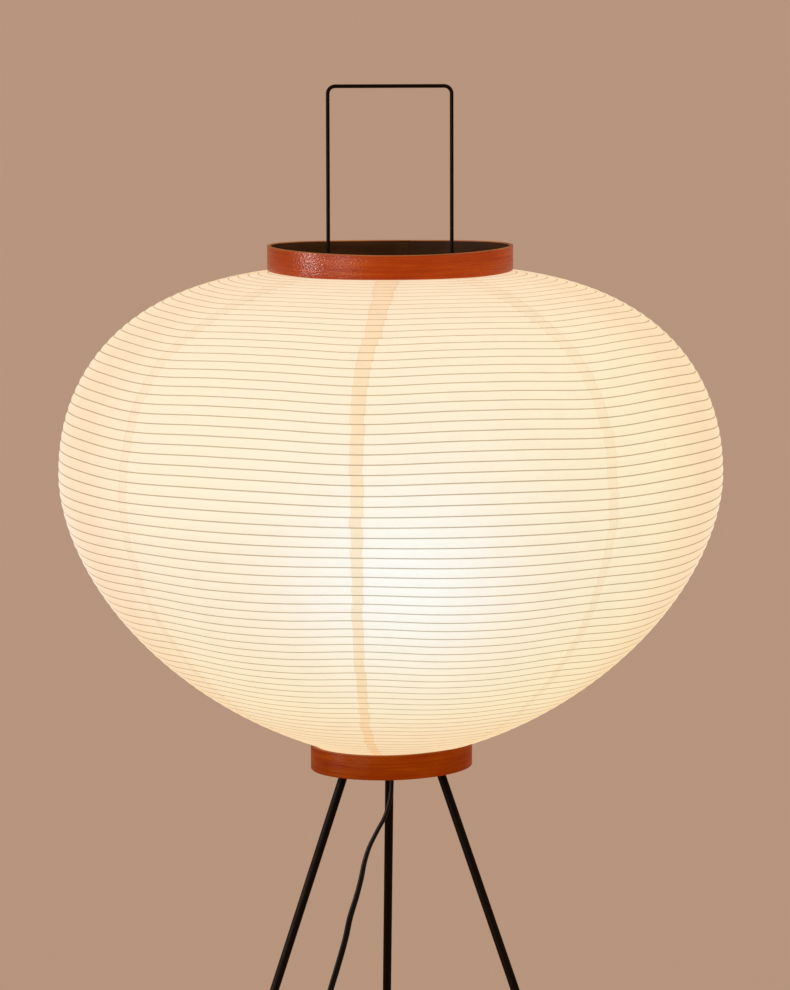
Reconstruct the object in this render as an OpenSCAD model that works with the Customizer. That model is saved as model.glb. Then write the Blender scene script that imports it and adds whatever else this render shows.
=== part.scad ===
// Paper lantern floor lamp: a ribbed paper globe stretched between two bent-wood
// hoops on a wire frame, carried by a hub on three splayed rods.
// Millimetres, +Z up, floor at z = 0. The box round the lamp is centred on the
// origin, so the lamp's own axis stands at y = lamp_y.

/* [Stand] */
// Height of the hub plate's underside above the floor
hub_h = 668; // [500:1:900]
// Diameter of the hub plate
hub_d = 112; // [106:0.5:114]
// Thickness of the hub plate
hub_t = 3; // [2:0.5:4]
// Diameter of each leg rod
leg_d = 7; // [6:0.5:9]
// Lean of each leg from the vertical, in degrees
leg_lean = 21.4; // [18:0.1:26]
// Radius at which the leg's centre line crosses the middle of the hub plate
leg_ring_r = 41; // [38:0.5:42]
// Outer diameter of each leg socket
socket_d = 12; // [11:0.5:14]
// Length of each leg socket below the middle of the hub plate
socket_below = 7; // [5:0.5:8]
// Length of each leg socket above the middle of the hub plate
socket_above = 11; // [9:0.5:14]
// Diameter of the stud on top of each leg
leg_stud_d = 5; // [4:0.5:5]
// Length of each stud above its socket
leg_stud_out = 6; // [5:0.5:8]
// Diameter of each rubber foot
foot_d = 13; // [12:0.5:18]
// Length of leg that each rubber foot covers
foot_grip = 18; // [10:1:30]
// Rubber under the end of each leg
foot_pad = 5; // [4:0.5:8]

/* [Wire frame] */
// Height of the whole lamp, to the top of the carrying wire
overall_h = 1210; // [1180:1:1300]
// Diameter of the wire
wire_d = 3; // [2.5:0.1:4]
// Distance between the centre lines of the two uprights
wire_gap = 98.4; // [90:0.1:102]
// Radius of the wire's bends, on its centre line
wire_bend_r = 6; // [4:0.5:12]
// Length of wire below the hub plate
wire_below = 6; // [5:0.5:8]

/* [Hoops] */
// Outer diameter of the upper hoop
top_hoop_d = 196; // [180:1:210]
// Outer diameter of the lower hoop
bottom_hoop_d = 130; // [129:0.5:140]
// Height of both hoops
hoop_h = 20; // [18:0.5:26]
// Thickness of the bent wood
hoop_t = 2.8; // [2:0.1:4]
// Thickness of the hoop's overlapped end where it stands proud
lap_t = 1.2; // [0.8:0.1:2]
// Angle that the overlapped end covers, in degrees
lap_angle = 24; // [15:1:40]
// Drop of the lower hoop's edge below the hub plate's underside
hoop_drop = 4; // [2:0.5:5]

/* [Shade] */
// Diameter of the shade
shade_d = 530; // [480:1:560]
// Distance from the lower hoop's lower edge to the upper hoop's upper edge
shade_h = 416; // [380:1:440]
// Height of the widest ring above the lower hoop's lower edge
equator_h = 236; // [210:1:250]
// Thickness of the paper with its glue
paper_t = 0.5; // [0.3:0.1:1]
// Length of paper glued inside each hoop
paper_tuck = 8; // [5:0.5:8]
// Glue line between a hoop and the paper
glue_gap = 0.3; // [0.3:0.05:0.5]
// Distance between neighbouring ribs, measured along the paper
rib_pitch = 8.6; // [7:0.1:14]
// Thickness of each split-bamboo rib, across the paper
rib_t = 1.1; // [0.8:0.1:1.6]
// Width of each split-bamboo rib, along the paper
rib_w = 1.3; // [1:0.1:2]
// How far each rib is pressed into the paper
rib_bite = 0.1; // [0.05:0.05:0.2]

/* [Hoop brackets] */
// Thickness of the spring-steel and sheet-steel brackets
bracket_t = 1.5; // [1:0.1:2]
// Width of the tongue that reaches in to the wire
tongue_w = 10; // [8:0.5:12]
// Height of the upper bracket's upright tab
tab_h = 9.5; // [8:0.5:9.5]
// Angle that the upper bracket's tab covers, in degrees
tab_angle = 16; // [12:1:20]
// Outer diameter of the eyelet that slides on the wire
eyelet_d = 8.5; // [7:0.5:10]
// Height of the eyelet
eyelet_h = 6; // [4:0.5:8]
// Radial play between the wire and the eyelet
wire_play = 0.06; // [0.03:0.01:0.1]
// Shank diameter of the small screws
screw_d = 2; // [1.5:0.1:2.4]
// Length of each small screw under its head
screw_l = 3.5; // [3:0.1:3.8]
// Angle that each lower bracket's tab covers, in degrees
carrier_angle = 14; // [10:1:20]
// Radius of the bolts that hold the lower brackets on the hub plate
carrier_bolt_r = 49; // [48:0.5:50]
// Diameter of those bolts
bolt_d = 3; // [2.5:0.5:3]

/* [Lampholder] */
// Length of threaded pipe between the hub plate and the lampholder
stem_l = 56; // [30:1:70]
// Outer diameter of the threaded pipe
stem_d = 10; // [9:0.5:11]
// Bore of the threaded pipe
stem_bore = 7.5; // [6:0.5:8]
// Outer diameter of the lampholder's base
holder_d = 38; // [36:0.5:42]
// Height of the lampholder's base
holder_base_h = 22; // [20:1:28]
// Height of the lampholder's sleeve
holder_sleeve_h = 34; // [32:1:38]
// Wall of the lampholder's mouldings
holder_wall = 2; // [1.5:0.1:2.4]

/* [Bulb] */
// Diameter of the bulb's glass
bulb_d = 60; // [50:1:80]
// Length of the bulb from its centre contact to its top
bulb_l = 106; // [100:1:120]
// Outside diameter of the bulb's screw cap
cap_d = 26.4; // [26:0.1:27]
// Length of the screw cap
cap_l = 24; // [22:0.5:26]
// Thickness of the glass
glass_t = 0.8; // [0.5:0.1:1.2]

/* [Cord and switch] */
// Diameter of the cord
cord_d = 5; // [4.8:0.1:5.2]
// Diameter of the foot switch
switch_d = 64; // [60:1:72]
// Height of the foot switch's shell
switch_h = 20; // [18:0.5:24]
// Wall of the foot switch's shell
switch_wall = 2; // [1.5:0.1:2.5]
// Diameter of the foot button
button_d = 30; // [24:0.5:34]
// Height of the button above the shell at rest
button_out = 5; // [4:0.5:7]
// Travel of the foot button
button_travel = 3; // [2:0.5:3]
// Play around the foot button
button_play = 0.4; // [0.3:0.05:0.6]
// Height of the switch's cord holes above the floor
inlet_h = 7.4; // [7:0.1:7.6]
// Length of the tapered sleeve where the cord enters
sleeve_l = 20; // [20:1:26]
// Width of the plug's body
plug_w = 26; // [24:0.5:30]
// Thickness of the plug's body
plug_h = 18; // [16:0.5:20]
// Length of the plug's body
plug_l = 32; // [28:1:40]
// Distance between the plug's two flat pins
pin_gap = 12.7; // [12.5:0.1:13]
// Length of the plug's pins
pin_l = 17.5; // [16:0.5:19]

/* [Hidden] */

// facets of a round part: enough for a true circle
$fn = 96;
hair = 0.01;                        // cut-through margin

// colours of the real materials
wood = [0.62, 0.22, 0.06];
washi = [1.0, 0.94, 0.82];
bamboo = [0.80, 0.68, 0.46];
black_steel = [0.10, 0.07, 0.05];
zinc = [0.72, 0.72, 0.70];
brass = [0.80, 0.64, 0.30];
black_rubber = [0.06, 0.06, 0.06];
black_moulding = [0.09, 0.09, 0.09];
porcelain = [0.93, 0.92, 0.88];
opal = [1.0, 0.98, 0.93];

// where the legs stand, by the angle round the lamp's axis
left_az = 210;
right_az = 330;
back_az = 90;
leg_az = [left_az, right_az, back_az];
socket_roof = 4;                    // metal above the leg's end in its socket
hub_top = hub_h + hub_t;
hub_mid = hub_h + hub_t / 2;
foot_r = leg_ring_r + hub_mid * tan(leg_lean);
leg_to_floor = hub_mid / cos(leg_lean);
foot_reach = foot_r + foot_d / 2 / cos(leg_lean);
foot_taper = 1.5;
shade_r = shade_d / 2;
// puts the box round the lamp on the origin
lamp_y = (shade_r - foot_reach) / 2;

// hoops
bottom_hoop_z = hub_h - hoop_drop;
top_hoop_z = bottom_hoop_z + shade_h - hoop_h;
top_in_r = top_hoop_d / 2 - hoop_t;
bottom_in_r = bottom_hoop_d / 2 - hoop_t;
rim_bevel = 0.4;
lap_az = 78;                        // the laps lie at the back

// wire frame
wire_x = wire_gap / 2;
wire_top = overall_h - wire_d / 2;
wire_foot = hub_h - wire_below;

// nuts: width across flats and height
leg_nut = [8, 4];
wire_nut = [5.5, 2.4];
stem_nut = [14, 4];
bolt_nut = [5.5, 2.4];

// brackets
hook_z = top_hoop_z + hoop_h - tab_h - 1;
hook_screw_az = 5;
carrier_az = [30, 150, 270];
carrier_low = bottom_hoop_z + 1;
carrier_w = 12;
tongue_past = 5;                    // lower tongue inside its bolt
head_d = 3.6;
head_h = 0.9;
head_seat = 0.05;                   // keeps a flat head clear of the bracket's curve
carrier_screw_z = hub_h;
screw_play = 0.05;
screw_hole_d = screw_d + 2 * screw_play;
bolt_out = 1;                       // thread showing under a bolt's nut
bolt_head = [5.5, 1.8];

// lampholder: its base is screwed on the pipe, which starts in the gland
stem_out = 3;                       // pipe showing under its lower nut
stem_foot = hub_h - stem_nut[1] - stem_out;
holder_z = hub_top + stem_l;
stem_in_holder = 9;
holder_boss_d = 15;
holder_boss_h = 4;
holder_floor = 1;                   // moulding between the pipe's end and the insert
insert_z = holder_z + stem_in_holder + holder_floor;
sleeve_z = holder_z + holder_base_h;
insert_bore = 6;
insert_well_d = 12;
insert_well_h = 2;
contact_z = sleeve_z + 3;
contact_leaf = [9, 1];
contact_tail = 2;                   // stem of the centre contact below the insert
cap_play = 0.5;
thread_t = 0.6;
thread_r = cap_d / 2 + cap_play + thread_t;
sleeve_gap = 0.2;
mouth_r = thread_r + sleeve_gap;
wire_core_d = 2.2;                  // insulated conductors inside the pipe

// bulb
bulb_z = contact_z + 0.3;
cap_z = bulb_z + 4.5;
bulb_r = bulb_d / 2;
bulb_mid = bulb_z + bulb_l - bulb_r;
tip_h = 1;
tip_r = 4;
tip_pin_r = 2;
insulator_r = 5;
cap_foot_r = 8;
cap_foot_h = 3;
ridge_pitch = 3.6;
ridge_r = 0.9;
cap_r = cap_d / 2;
neck_r = cap_r - 1.2;

// gland under the pipe
gland_h = 9;
gland_top_d = 12.5;
gland_low_d = 7.5;
gland_sleeve_up = 14;
gland_low = stem_foot - gland_h;
cord_play = 0.1;

// the shade's outline is two superellipse quarters that meet at the widest ring
upper_r_power = 3.02;
upper_z_power = 2.14;
lower_r_power = 1.68;
lower_z_power = 1.79;
neck_top_r = top_in_r - glue_gap;
neck_low_r = bottom_in_r - glue_gap;
equator_z = bottom_hoop_z + equator_h;
upper_end = acos(pow(neck_top_r / shade_r, upper_r_power / 2));
lower_end = acos(pow(neck_low_r / shade_r, lower_r_power / 2));
upper_b = (top_hoop_z - equator_z) / pow(sin(upper_end), 2 / upper_z_power);
lower_b = (equator_z - bottom_hoop_z - hoop_h) / pow(sin(lower_end), 2 / lower_z_power);

function upper_point(t) = [shade_r * pow(cos(t), 2 / upper_r_power),
                           equator_z + upper_b * pow(sin(t), 2 / upper_z_power)];
function lower_point(t) = [shade_r * pow(cos(t), 2 / lower_r_power),
                           equator_z - lower_b * pow(sin(t), 2 / lower_z_power)];

// fine points down the outline, from the upper hoop to the lower one
fine_steps = 150;
outline = [for (i = [fine_steps:-1:0]) upper_point(upper_end * i / fine_steps),
           for (i = [1:fine_steps]) lower_point(lower_end * i / fine_steps)];
// length of paper from the upper hoop down to each fine point
run = [for (i = 0, s = 0; i < len(outline);
            i = i + 1, s = i < len(outline) ? s + norm(outline[i] - outline[i - 1]) : s) s];
paper_run = run[len(run) - 1];
run_to_r = [for (i = [0:len(run) - 1]) [run[i], outline[i][0]]];
run_to_z = [for (i = [0:len(run) - 1]) [run[i], outline[i][1]]];
rib_count = round(paper_run / rib_pitch) - 1;
rib_step = paper_run / (rib_count + 1);

// point on the paper's outer face, and the unit normal there, at a length s down it
function paper_point(s) = [lookup(s, run_to_r), lookup(s, run_to_z)];
function unit(v) = v / norm(v);
function turn_left(v) = [-v[1], v[0]];
function paper_normal(s) = turn_left(unit(paper_point(min(s + 1, paper_run))
                                          - paper_point(max(s - 1, 0))));
function inward(s, d) = paper_point(s) - d * paper_normal(s);

// the cord, as points relative to the lamp's axis, chosen by hand
lead_route = [[0, 0, 675], [0, 0, 660], [0, 0, 645], [-2, 0, 632], [-6, -1, 620], [-12, -2, 609],
              [-18, -3, 597], [-22, -4, 585], [-25, -5, 571], [-29, -6, 556],
              [-34, -7, 540], [-38, -8, 522], [-44, -9, 501], [-51, -10, 478],
              [-58, -10, 452], [-64, -10, 422], [-68, -10, 388], [-70, -10, 350],
              [-71, -10, 308], [-71, -10, 264], [-71, -10, 220], [-71, -10, 178],
              [-71, -10, 138], [-71, -11, 100], [-71, -14, 68], [-71, -21, 40],
              [-70, -33, 18], [-69, -49, 6], [-68, -66, 3], [-68, -82, 5], [-68, -98, 7.4]];
tail_route = [[-68, -202, 7.4], [-68, -214, 5], [-67, -226, 3], [-63, -238, 3], [-56, -248, 3],
              [-46, -255, 3], [-34, -260, 3], [-22, -261, 3], [-10, -259, 3], [2, -254, 3],
              [12, -245, 3], [18, -234, 3], [21, -222, 3], [22, -206, 3], [22, -188, 3],
              [22, -168, 3], [22, -148, 3], [22, -128, 3], [22, -108, 3], [22, -90, 3],
              [22, -72, 3]];
end_route = [[22, -72, 8], [22, -60, 7], [22, -46, 4], [22, -31, 3], [22, -15, 5], [22, 0, 9]];
switch_at = [-68, -150, 0];
plug_at = [22, 20, 0];

// the spare cord, wound in a coil of two layers, with a tie round one side
coil_at = [-14, -72, 0.6];
coil_first_r = 21;
coil_turns = 4;
coil_layers = 2;
coil_in_r = coil_first_r - cord_d / 2;
coil_out_r = coil_in_r + coil_turns * cord_d;
tie_t = 0.6;
tie_angle = 10;
tie_az = 150;

// foot switch
switch_r = switch_d / 2;
base_t = 3;
switch_edge = 4;
switch_crown = 0.6;                 // rise of the shell's top from its shoulder to its middle
crown_share = 0.6;
shell_gap = 0.3;
boss_d = 6;
boss_in = 7;                        // a boss's middle from the shell's outer face
button_r = button_d / 2;
button_flange = 2.5;
button_flange_t = 2;
button_low = switch_h - switch_wall - switch_crown - shell_gap - button_flange_t;
button_roof = 5;                    // depth of the spring's pocket in the button
stop_gap = 2;                       // room left under the button when it is down
block_size = [22, 14, button_low - button_travel - stop_gap - base_t];
spring_wire = 0.9;
spring_r = 5;
spring_coils = 4;
spring_z = base_t + block_size[2];
spring_h = button_low + button_roof - spring_z;
screw_sunk = 1.5;                   // pocket for a screw's head in the switch's base
sleeve_neck = 2.6;                  // how much wider than the cord a sleeve's neck is
sleeve_grip = 2;                    // cord inside the tapered end of a sleeve
sleeve_in = 3;                      // neck inside the shell
relief = [1.5, 5];                  // width over the cord at a strain relief's two ends

// plug
pin_w = 6.3;
pin_t = 1.5;
pin_root = 4;
plug_z = plug_h / 2;
plug_nose = 3;
plug_tail = 20;                     // tapered strain relief behind the plug
plug_shoulder = 8;

module at_lamp() translate([0, lamp_y, 0]) children();

// a frame on a leg: z runs down the leg from the hub plate's middle
module on_leg(az) {
    at_lamp() rotate([0, 0, az]) translate([leg_ring_r, 0, hub_mid])
        rotate([0, 180 - leg_lean, 0]) children();
}

module hex_nut(size, bore) {
    difference() {
        cylinder(d = size[0] / cos(30), h = size[1], $fn = 6);
        translate([0, 0, -hair]) cylinder(d = bore, h = size[1] + 2 * hair);
    }
}

/* ---- stand ---- */

module leg(az) {
    color(black_steel) on_leg(az) union() {
        translate([0, 0, socket_roof - socket_above])
            cylinder(d = leg_d, h = leg_to_floor - foot_pad + socket_above - socket_roof);
        translate([0, 0, -socket_above - leg_stud_out])
            cylinder(d = leg_stud_d, h = leg_stud_out + socket_roof + hair);
    }
}
module leg_left() leg(left_az);
module leg_right() leg(right_az);
module leg_back() leg(back_az);

module foot(az) {
    color(black_rubber) intersection() {
        on_leg(az) translate([0, 0, leg_to_floor - foot_pad - foot_grip]) difference() {
            rotate_extrude() polygon([[0, 0], [foot_d / 2 - foot_taper, 0], [foot_d / 2, foot_grip / 4],
                [foot_d / 2, foot_grip + foot_pad + foot_d], [0, foot_grip + foot_pad + foot_d]]);
            translate([0, 0, -hair]) cylinder(d = leg_d, h = foot_grip + hair);
        }
        translate([-shade_d, -shade_d, 0]) cube([2 * shade_d, 2 * shade_d, hub_h]);
    }
}
module foot_left() foot(left_az);
module foot_right() foot(right_az);
module foot_back() foot(back_az);

module leg_nuts() {
    color(zinc) for (az = leg_az)
        on_leg(az) translate([0, 0, -socket_above - leg_nut[1]]) hex_nut(leg_nut, leg_stud_d);
}

// tubes welded through the hub plate, with a shoulder that the leg's end meets
module leg_sockets() {
    color(black_steel) for (az = leg_az) on_leg(az) difference() {
        translate([0, 0, -socket_above]) cylinder(d = socket_d, h = socket_above + socket_below);
        translate([0, 0, socket_roof - socket_above])
            cylinder(d = leg_d, h = socket_above + socket_below);
        translate([0, 0, -socket_above - hair]) cylinder(d = leg_stud_d, h = socket_roof + 1);
    }
}

module hub_plate() {
    color(black_steel) difference() {
        at_lamp() translate([0, 0, hub_h]) cylinder(d = hub_d, h = hub_t);
        for (az = leg_az)
            on_leg(az) translate([0, 0, -socket_above])
                cylinder(d = socket_d, h = 2 * socket_above);
        at_lamp() translate([0, 0, hub_h - hair]) {
            cylinder(d = stem_d, h = hub_t + 2 * hair);
            for (x = [-wire_x, wire_x])
                translate([x, 0, 0]) cylinder(d = wire_d, h = hub_t + 2 * hair);
            for (az = carrier_az)
                rotate(az) translate([carrier_bolt_r, 0, 0])
                    cylinder(d = bolt_d, h = hub_t + 2 * hair);
        }
    }
}

/* ---- wire frame ---- */

module stretcher_wire() {
    color(black_steel) at_lamp() union() {
        for (side = [-1, 1]) {
            translate([side * wire_x, 0, wire_foot])
                cylinder(d = wire_d, h = wire_top - wire_bend_r - wire_foot);
            translate([side * (wire_x - wire_bend_r), 0, wire_top - wire_bend_r])
                rotate([90, 0, 0]) rotate(side > 0 ? 0 : 90)
                    rotate_extrude(angle = 90) translate([wire_bend_r, 0]) circle(d = wire_d);
        }
        translate([-wire_x + wire_bend_r, 0, wire_top]) rotate([0, 90, 0])
            cylinder(d = wire_d, h = wire_gap - 2 * wire_bend_r);
    }
}

module wire_nuts() {
    color(zinc) at_lamp() for (x = [-wire_x, wire_x], z = [hub_h - wire_nut[1], hub_top])
        translate([x, 0, z]) hex_nut(wire_nut, wire_d);
}

/* ---- hoops ---- */

// a bent strip with eased edges, its outer end lapped over itself at the back
module wood_hoop(r_out, z) {
    at_lamp() translate([0, 0, z]) union() {
        rotate_extrude() translate([r_out - hoop_t, 0]) polygon([
            [rim_bevel, 0], [hoop_t - rim_bevel, 0], [hoop_t, rim_bevel],
            [hoop_t, hoop_h - rim_bevel], [hoop_t - rim_bevel, hoop_h],
            [rim_bevel, hoop_h], [0, hoop_h - rim_bevel], [0, rim_bevel]]);
        rotate(lap_az) rotate_extrude(angle = lap_angle)
            translate([r_out - hoop_t / 2, rim_bevel])
                square([hoop_t / 2 + lap_t, hoop_h - 2 * rim_bevel]);
    }
}

module bottom_hoop() {
    color(wood) difference() {
        wood_hoop(bottom_hoop_d / 2, bottom_hoop_z);
        carrier_screw_sites() cylinder(d = screw_hole_d, h = screw_l + 2 * screw_play);
    }
}

module top_hoop() {
    color(wood) difference() {
        wood_hoop(top_hoop_d / 2, top_hoop_z);
        hook_screw_sites() cylinder(d = screw_hole_d, h = screw_l + 2 * screw_play);
    }
}

// a small screw with its shank along z and its head on a curved bracket's inner face
module small_screw() {
    translate([0, 0, -head_seat]) {
        cylinder(d = screw_d, h = screw_l);
        translate([0, 0, -head_h]) cylinder(d = head_d, h = head_h);
    }
}

// brackets under the shade: bolted on the hub plate, screwed inside the lower hoop
module carrier_screw_sites() {
    at_lamp() for (az = carrier_az, side = [-1, 1])
        rotate(az + side * carrier_angle / 4)
            translate([bottom_in_r - bracket_t, 0, carrier_screw_z]) rotate([0, 90, 0]) children();
}

module hoop_carriers() {
    color(black_steel) difference() {
        at_lamp() for (az = carrier_az) rotate(az) union() {
            rotate(-carrier_angle / 2) rotate_extrude(angle = carrier_angle)
                translate([bottom_in_r - bracket_t, carrier_low])
                    square([bracket_t, hub_top + bracket_t - carrier_low]);
            translate([carrier_bolt_r - tongue_past, -carrier_w / 2, hub_top])
                cube([bottom_in_r - bracket_t / 2 - carrier_bolt_r + tongue_past, carrier_w,
                      bracket_t]);
        }
        carrier_screw_sites() translate([0, 0, -hair])
            cylinder(d = screw_hole_d, h = bracket_t + screw_l);
        at_lamp() for (az = carrier_az) rotate(az) translate([carrier_bolt_r, 0, hub_top - hair])
            cylinder(d = bolt_d, h = bracket_t + 2 * hair);
    }
}

module carrier_screws() {
    color(brass) carrier_screw_sites() small_screw();
}

module carrier_bolts() {
    color(zinc) at_lamp() for (az = carrier_az) rotate(az) translate([carrier_bolt_r, 0, 0]) {
        translate([0, 0, hub_h - bolt_nut[1] - bolt_out])
            cylinder(d = bolt_d, h = hub_t + bracket_t + bolt_nut[1] + bolt_out);
        translate([0, 0, hub_top + bracket_t]) cylinder(d = bolt_head[0], h = bolt_head[1]);
        translate([0, 0, hub_h - bolt_nut[1]]) hex_nut(bolt_nut, bolt_d - hair);
    }
}

// spring-steel brackets inside the upper hoop, each with an eyelet on an upright
module hook_screw_sites(sides = [0, 180]) {
    at_lamp() for (az = sides, side = [-1, 1]) rotate(az + side * hook_screw_az)
        translate([top_in_r - bracket_t, 0, hook_z + (tab_h + bracket_t) / 2])
            rotate([0, 90, 0]) children();
}

module hook(az) {
    color(black_steel) difference() {
        at_lamp() rotate(az) union() {
            rotate(-tab_angle / 2) rotate_extrude(angle = tab_angle)
                translate([top_in_r - bracket_t, hook_z]) square([bracket_t, tab_h]);
            translate([wire_x, -tongue_w / 2, hook_z])
                cube([top_in_r - bracket_t / 2 - wire_x, tongue_w, bracket_t]);
            translate([wire_x, 0, hook_z + bracket_t - eyelet_h]) cylinder(d = eyelet_d, h = eyelet_h);
            translate([wire_x, 0, hook_z]) cylinder(d = tongue_w, h = bracket_t);
        }
        at_lamp() rotate(az) translate([wire_x, 0, hook_z + bracket_t - eyelet_h - hair])
            cylinder(r = wire_d / 2 + wire_play, h = eyelet_h + 2 * hair);
        hook_screw_sites([az]) translate([0, 0, -hair])
            cylinder(d = screw_hole_d, h = bracket_t + screw_l);
    }
}
module hook_left() hook(180);
module hook_right() hook(0);

module hook_screws() {
    color(brass) hook_screw_sites() small_screw();
}

/* ---- shade ---- */

// the paper: straight between ribs, with a glued tuck inside each hoop
module shade_paper() {
    rows = [for (i = [0:rib_count + 1]) i * rib_step];
    outer = [for (s = rows) paper_point(s)];
    inner = [for (i = [rib_count:-1:1]) inward(rows[i], paper_t)];
    color(washi) at_lamp() rotate_extrude() polygon(concat(
        [[neck_top_r, top_hoop_z + paper_tuck]], outer,
        [[neck_low_r, bottom_hoop_z + hoop_h - paper_tuck],
         [neck_low_r - paper_t, bottom_hoop_z + hoop_h - paper_tuck],
         [neck_low_r - paper_t, bottom_hoop_z + hoop_h]],
        inner,
        [[neck_top_r - paper_t, top_hoop_z], [neck_top_r - paper_t, top_hoop_z + paper_tuck]]));
}

module bamboo_ribs() {
    color(bamboo) at_lamp() for (i = [1:rib_count]) {
        s = i * rib_step;
        at = inward(s, paper_t + rib_t / 2 - rib_bite);
        out = paper_normal(s);
        rotate_extrude() translate(at) rotate(atan2(out[1], out[0]))
            square([rib_t, rib_w], center = true);
    }
}

/* ---- lampholder and bulb ---- */

module stem_pipe() {
    color(brass) at_lamp() translate([0, 0, stem_foot]) difference() {
        cylinder(d = stem_d, h = holder_z + stem_in_holder - stem_foot);
        translate([0, 0, -hair]) cylinder(d = stem_bore, h = holder_z);
    }
}

module stem_nuts() {
    color(zinc) at_lamp() for (z = [hub_h - stem_nut[1], hub_top])
        translate([0, 0, z]) hex_nut(stem_nut, stem_d);
}

// tapered strain relief under the pipe, with a spigot inside it
module cord_gland() {
    color(black_rubber) at_lamp() difference() {
        rotate_extrude() polygon([[0, gland_low], [gland_low_d / 2, gland_low],
            [gland_top_d / 2, gland_low + 5], [gland_top_d / 2, stem_foot],
            [stem_bore / 2, stem_foot], [stem_bore / 2, stem_foot + gland_sleeve_up],
            [0, stem_foot + gland_sleeve_up]]);
        translate([0, 0, gland_low - hair]) cylinder(d = cord_d + 2 * cord_play, h = hub_h);
    }
}

// the cord's two conductors, from its cut end up to the lampholder
module stem_wires() {
    color(washi) at_lamp() for (side = [-1, 1])
        translate([side * (wire_core_d / 2 + cord_play), 0, stem_foot + gland_sleeve_up])
            cylinder(d = wire_core_d, h = insert_z - contact_tail - stem_foot - gland_sleeve_up);
}

module holder_base() {
    color(black_moulding) at_lamp() difference() {
        rotate_extrude() polygon([[0, holder_z], [holder_boss_d / 2, holder_z],
            [holder_boss_d / 2, holder_z + holder_boss_h],
            [holder_d / 2 - 3, holder_z + holder_boss_h],
            [holder_d / 2, holder_z + 2 * holder_boss_h], [holder_d / 2, sleeve_z],
            [0, sleeve_z]]);
        translate([0, 0, holder_z - hair]) cylinder(d = stem_d, h = stem_in_holder + hair);
        translate([0, 0, insert_z]) cylinder(r = holder_d / 2 - holder_wall, h = holder_base_h);
        translate([0, 0, holder_z]) cylinder(d = stem_bore, h = holder_base_h);
        grub_screw_site() cylinder(d = screw_d, h = holder_d);
    }
}

module grub_screw_site() {
    translate([0, 0, holder_z + holder_boss_h / 2]) rotate([0, 90, 0]) children();
}

module holder_grub_screw() {
    color(zinc) at_lamp() grub_screw_site() translate([0, 0, stem_d / 2])
        cylinder(d = screw_d, h = screw_l);
}

module holder_sleeve() {
    color(black_moulding) at_lamp() translate([0, 0, sleeve_z]) difference() {
        rotate_extrude() polygon([[0, 0], [holder_d / 2, 0], [holder_d / 2, 3],
            [mouth_r + 1.2 * holder_wall, 6],
            [mouth_r + holder_wall, holder_sleeve_h - holder_wall / 2],
            [mouth_r + holder_wall / 2, holder_sleeve_h], [0, holder_sleeve_h]]);
        translate([0, 0, -hair]) cylinder(r = mouth_r, h = holder_sleeve_h + 2 * hair);
    }
}

module holder_insert() {
    color(porcelain) at_lamp() translate([0, 0, insert_z]) difference() {
        cylinder(r = holder_d / 2 - holder_wall, h = sleeve_z - insert_z);
        translate([0, 0, -hair]) cylinder(d = insert_bore, h = holder_base_h);
        translate([0, 0, sleeve_z - insert_z - insert_well_h])
            cylinder(d = insert_well_d, h = holder_base_h);
    }
}

// the ridged screw shell that takes the bulb's cap
module holder_thread() {
    color(brass) at_lamp() translate([0, 0, sleeve_z]) difference() {
        cylinder(r = thread_r, h = holder_sleeve_h - holder_wall);
        translate([0, 0, thread_t]) cylinder(r = thread_r - thread_t, h = holder_sleeve_h);
        translate([0, 0, -hair]) cylinder(d = insert_well_d, h = holder_wall);
    }
}

module holder_contact() {
    color(brass) at_lamp() union() {
        translate([0, 0, insert_z - contact_tail])
            cylinder(d = insert_bore, h = contact_z - insert_z + contact_tail);
        translate([0, 0, contact_z - contact_leaf[1]])
            cylinder(d = contact_leaf[0], h = contact_leaf[1]);
    }
}

// the glass: a ball blended to its neck by a cone that touches it
module bulb_glass() {
    neck_z = cap_z + cap_l;
    sunk = 3;
    neck_h = 8;
    blend = 42;
    function shell(r, n) = concat([[0, bulb_mid + r]],
        [for (a = [85:-5:-blend]) [r * cos(a), bulb_mid + r * sin(a)]],
        [[r * cos(blend), bulb_mid - r * sin(blend)], [n, neck_z + neck_h], [n, neck_z - sunk],
         [0, neck_z - sunk]]);
    color(opal) at_lamp() difference() {
        rotate_extrude() polygon(shell(bulb_r, neck_r));
        rotate_extrude() difference() {
            polygon(shell(bulb_r - glass_t, neck_r - glass_t));
            square([bulb_r, 2 * (neck_z - sunk + glass_t)], center = true);
        }
    }
}

module bulb_cap() {
    ridges = floor(cap_l / ridge_pitch) - 1;
    color(zinc) at_lamp() translate([0, 0, cap_z]) difference() {
        union() {
            cylinder(r1 = cap_foot_r, r2 = cap_r - ridge_r, h = cap_foot_h);
            translate([0, 0, cap_foot_h - hair])
                cylinder(r = cap_r - ridge_r, h = cap_l - cap_foot_h + hair);
            for (i = [1:ridges]) translate([0, 0, ridge_pitch * (i + 0.5)])
                rotate_extrude() translate([cap_r - ridge_r, 0]) circle(r = ridge_r, $fn = 24);
        }
        translate([0, 0, cap_foot_h]) cylinder(r = neck_r, h = cap_l);
        translate([0, 0, -hair]) cylinder(r = insulator_r, h = cap_foot_h + 1);
    }
}

module bulb_insulator() {
    color(black_moulding) at_lamp() translate([0, 0, bulb_z + tip_h]) difference() {
        union() {
            cylinder(r1 = insulator_r, r2 = cap_foot_r, h = cap_z - bulb_z - tip_h);
            cylinder(r = insulator_r, h = cap_z - bulb_z - tip_h + cap_foot_h);
        }
        translate([0, 0, -hair]) cylinder(r = tip_pin_r, h = cap_z);
    }
}

module bulb_contact() {
    color(zinc) at_lamp() translate([0, 0, bulb_z]) union() {
        cylinder(r1 = tip_r - 1, r2 = tip_r, h = tip_h);
        cylinder(r = tip_pin_r, h = cap_z - bulb_z);
    }
}

/* ---- cord, foot switch and plug ---- */

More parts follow.
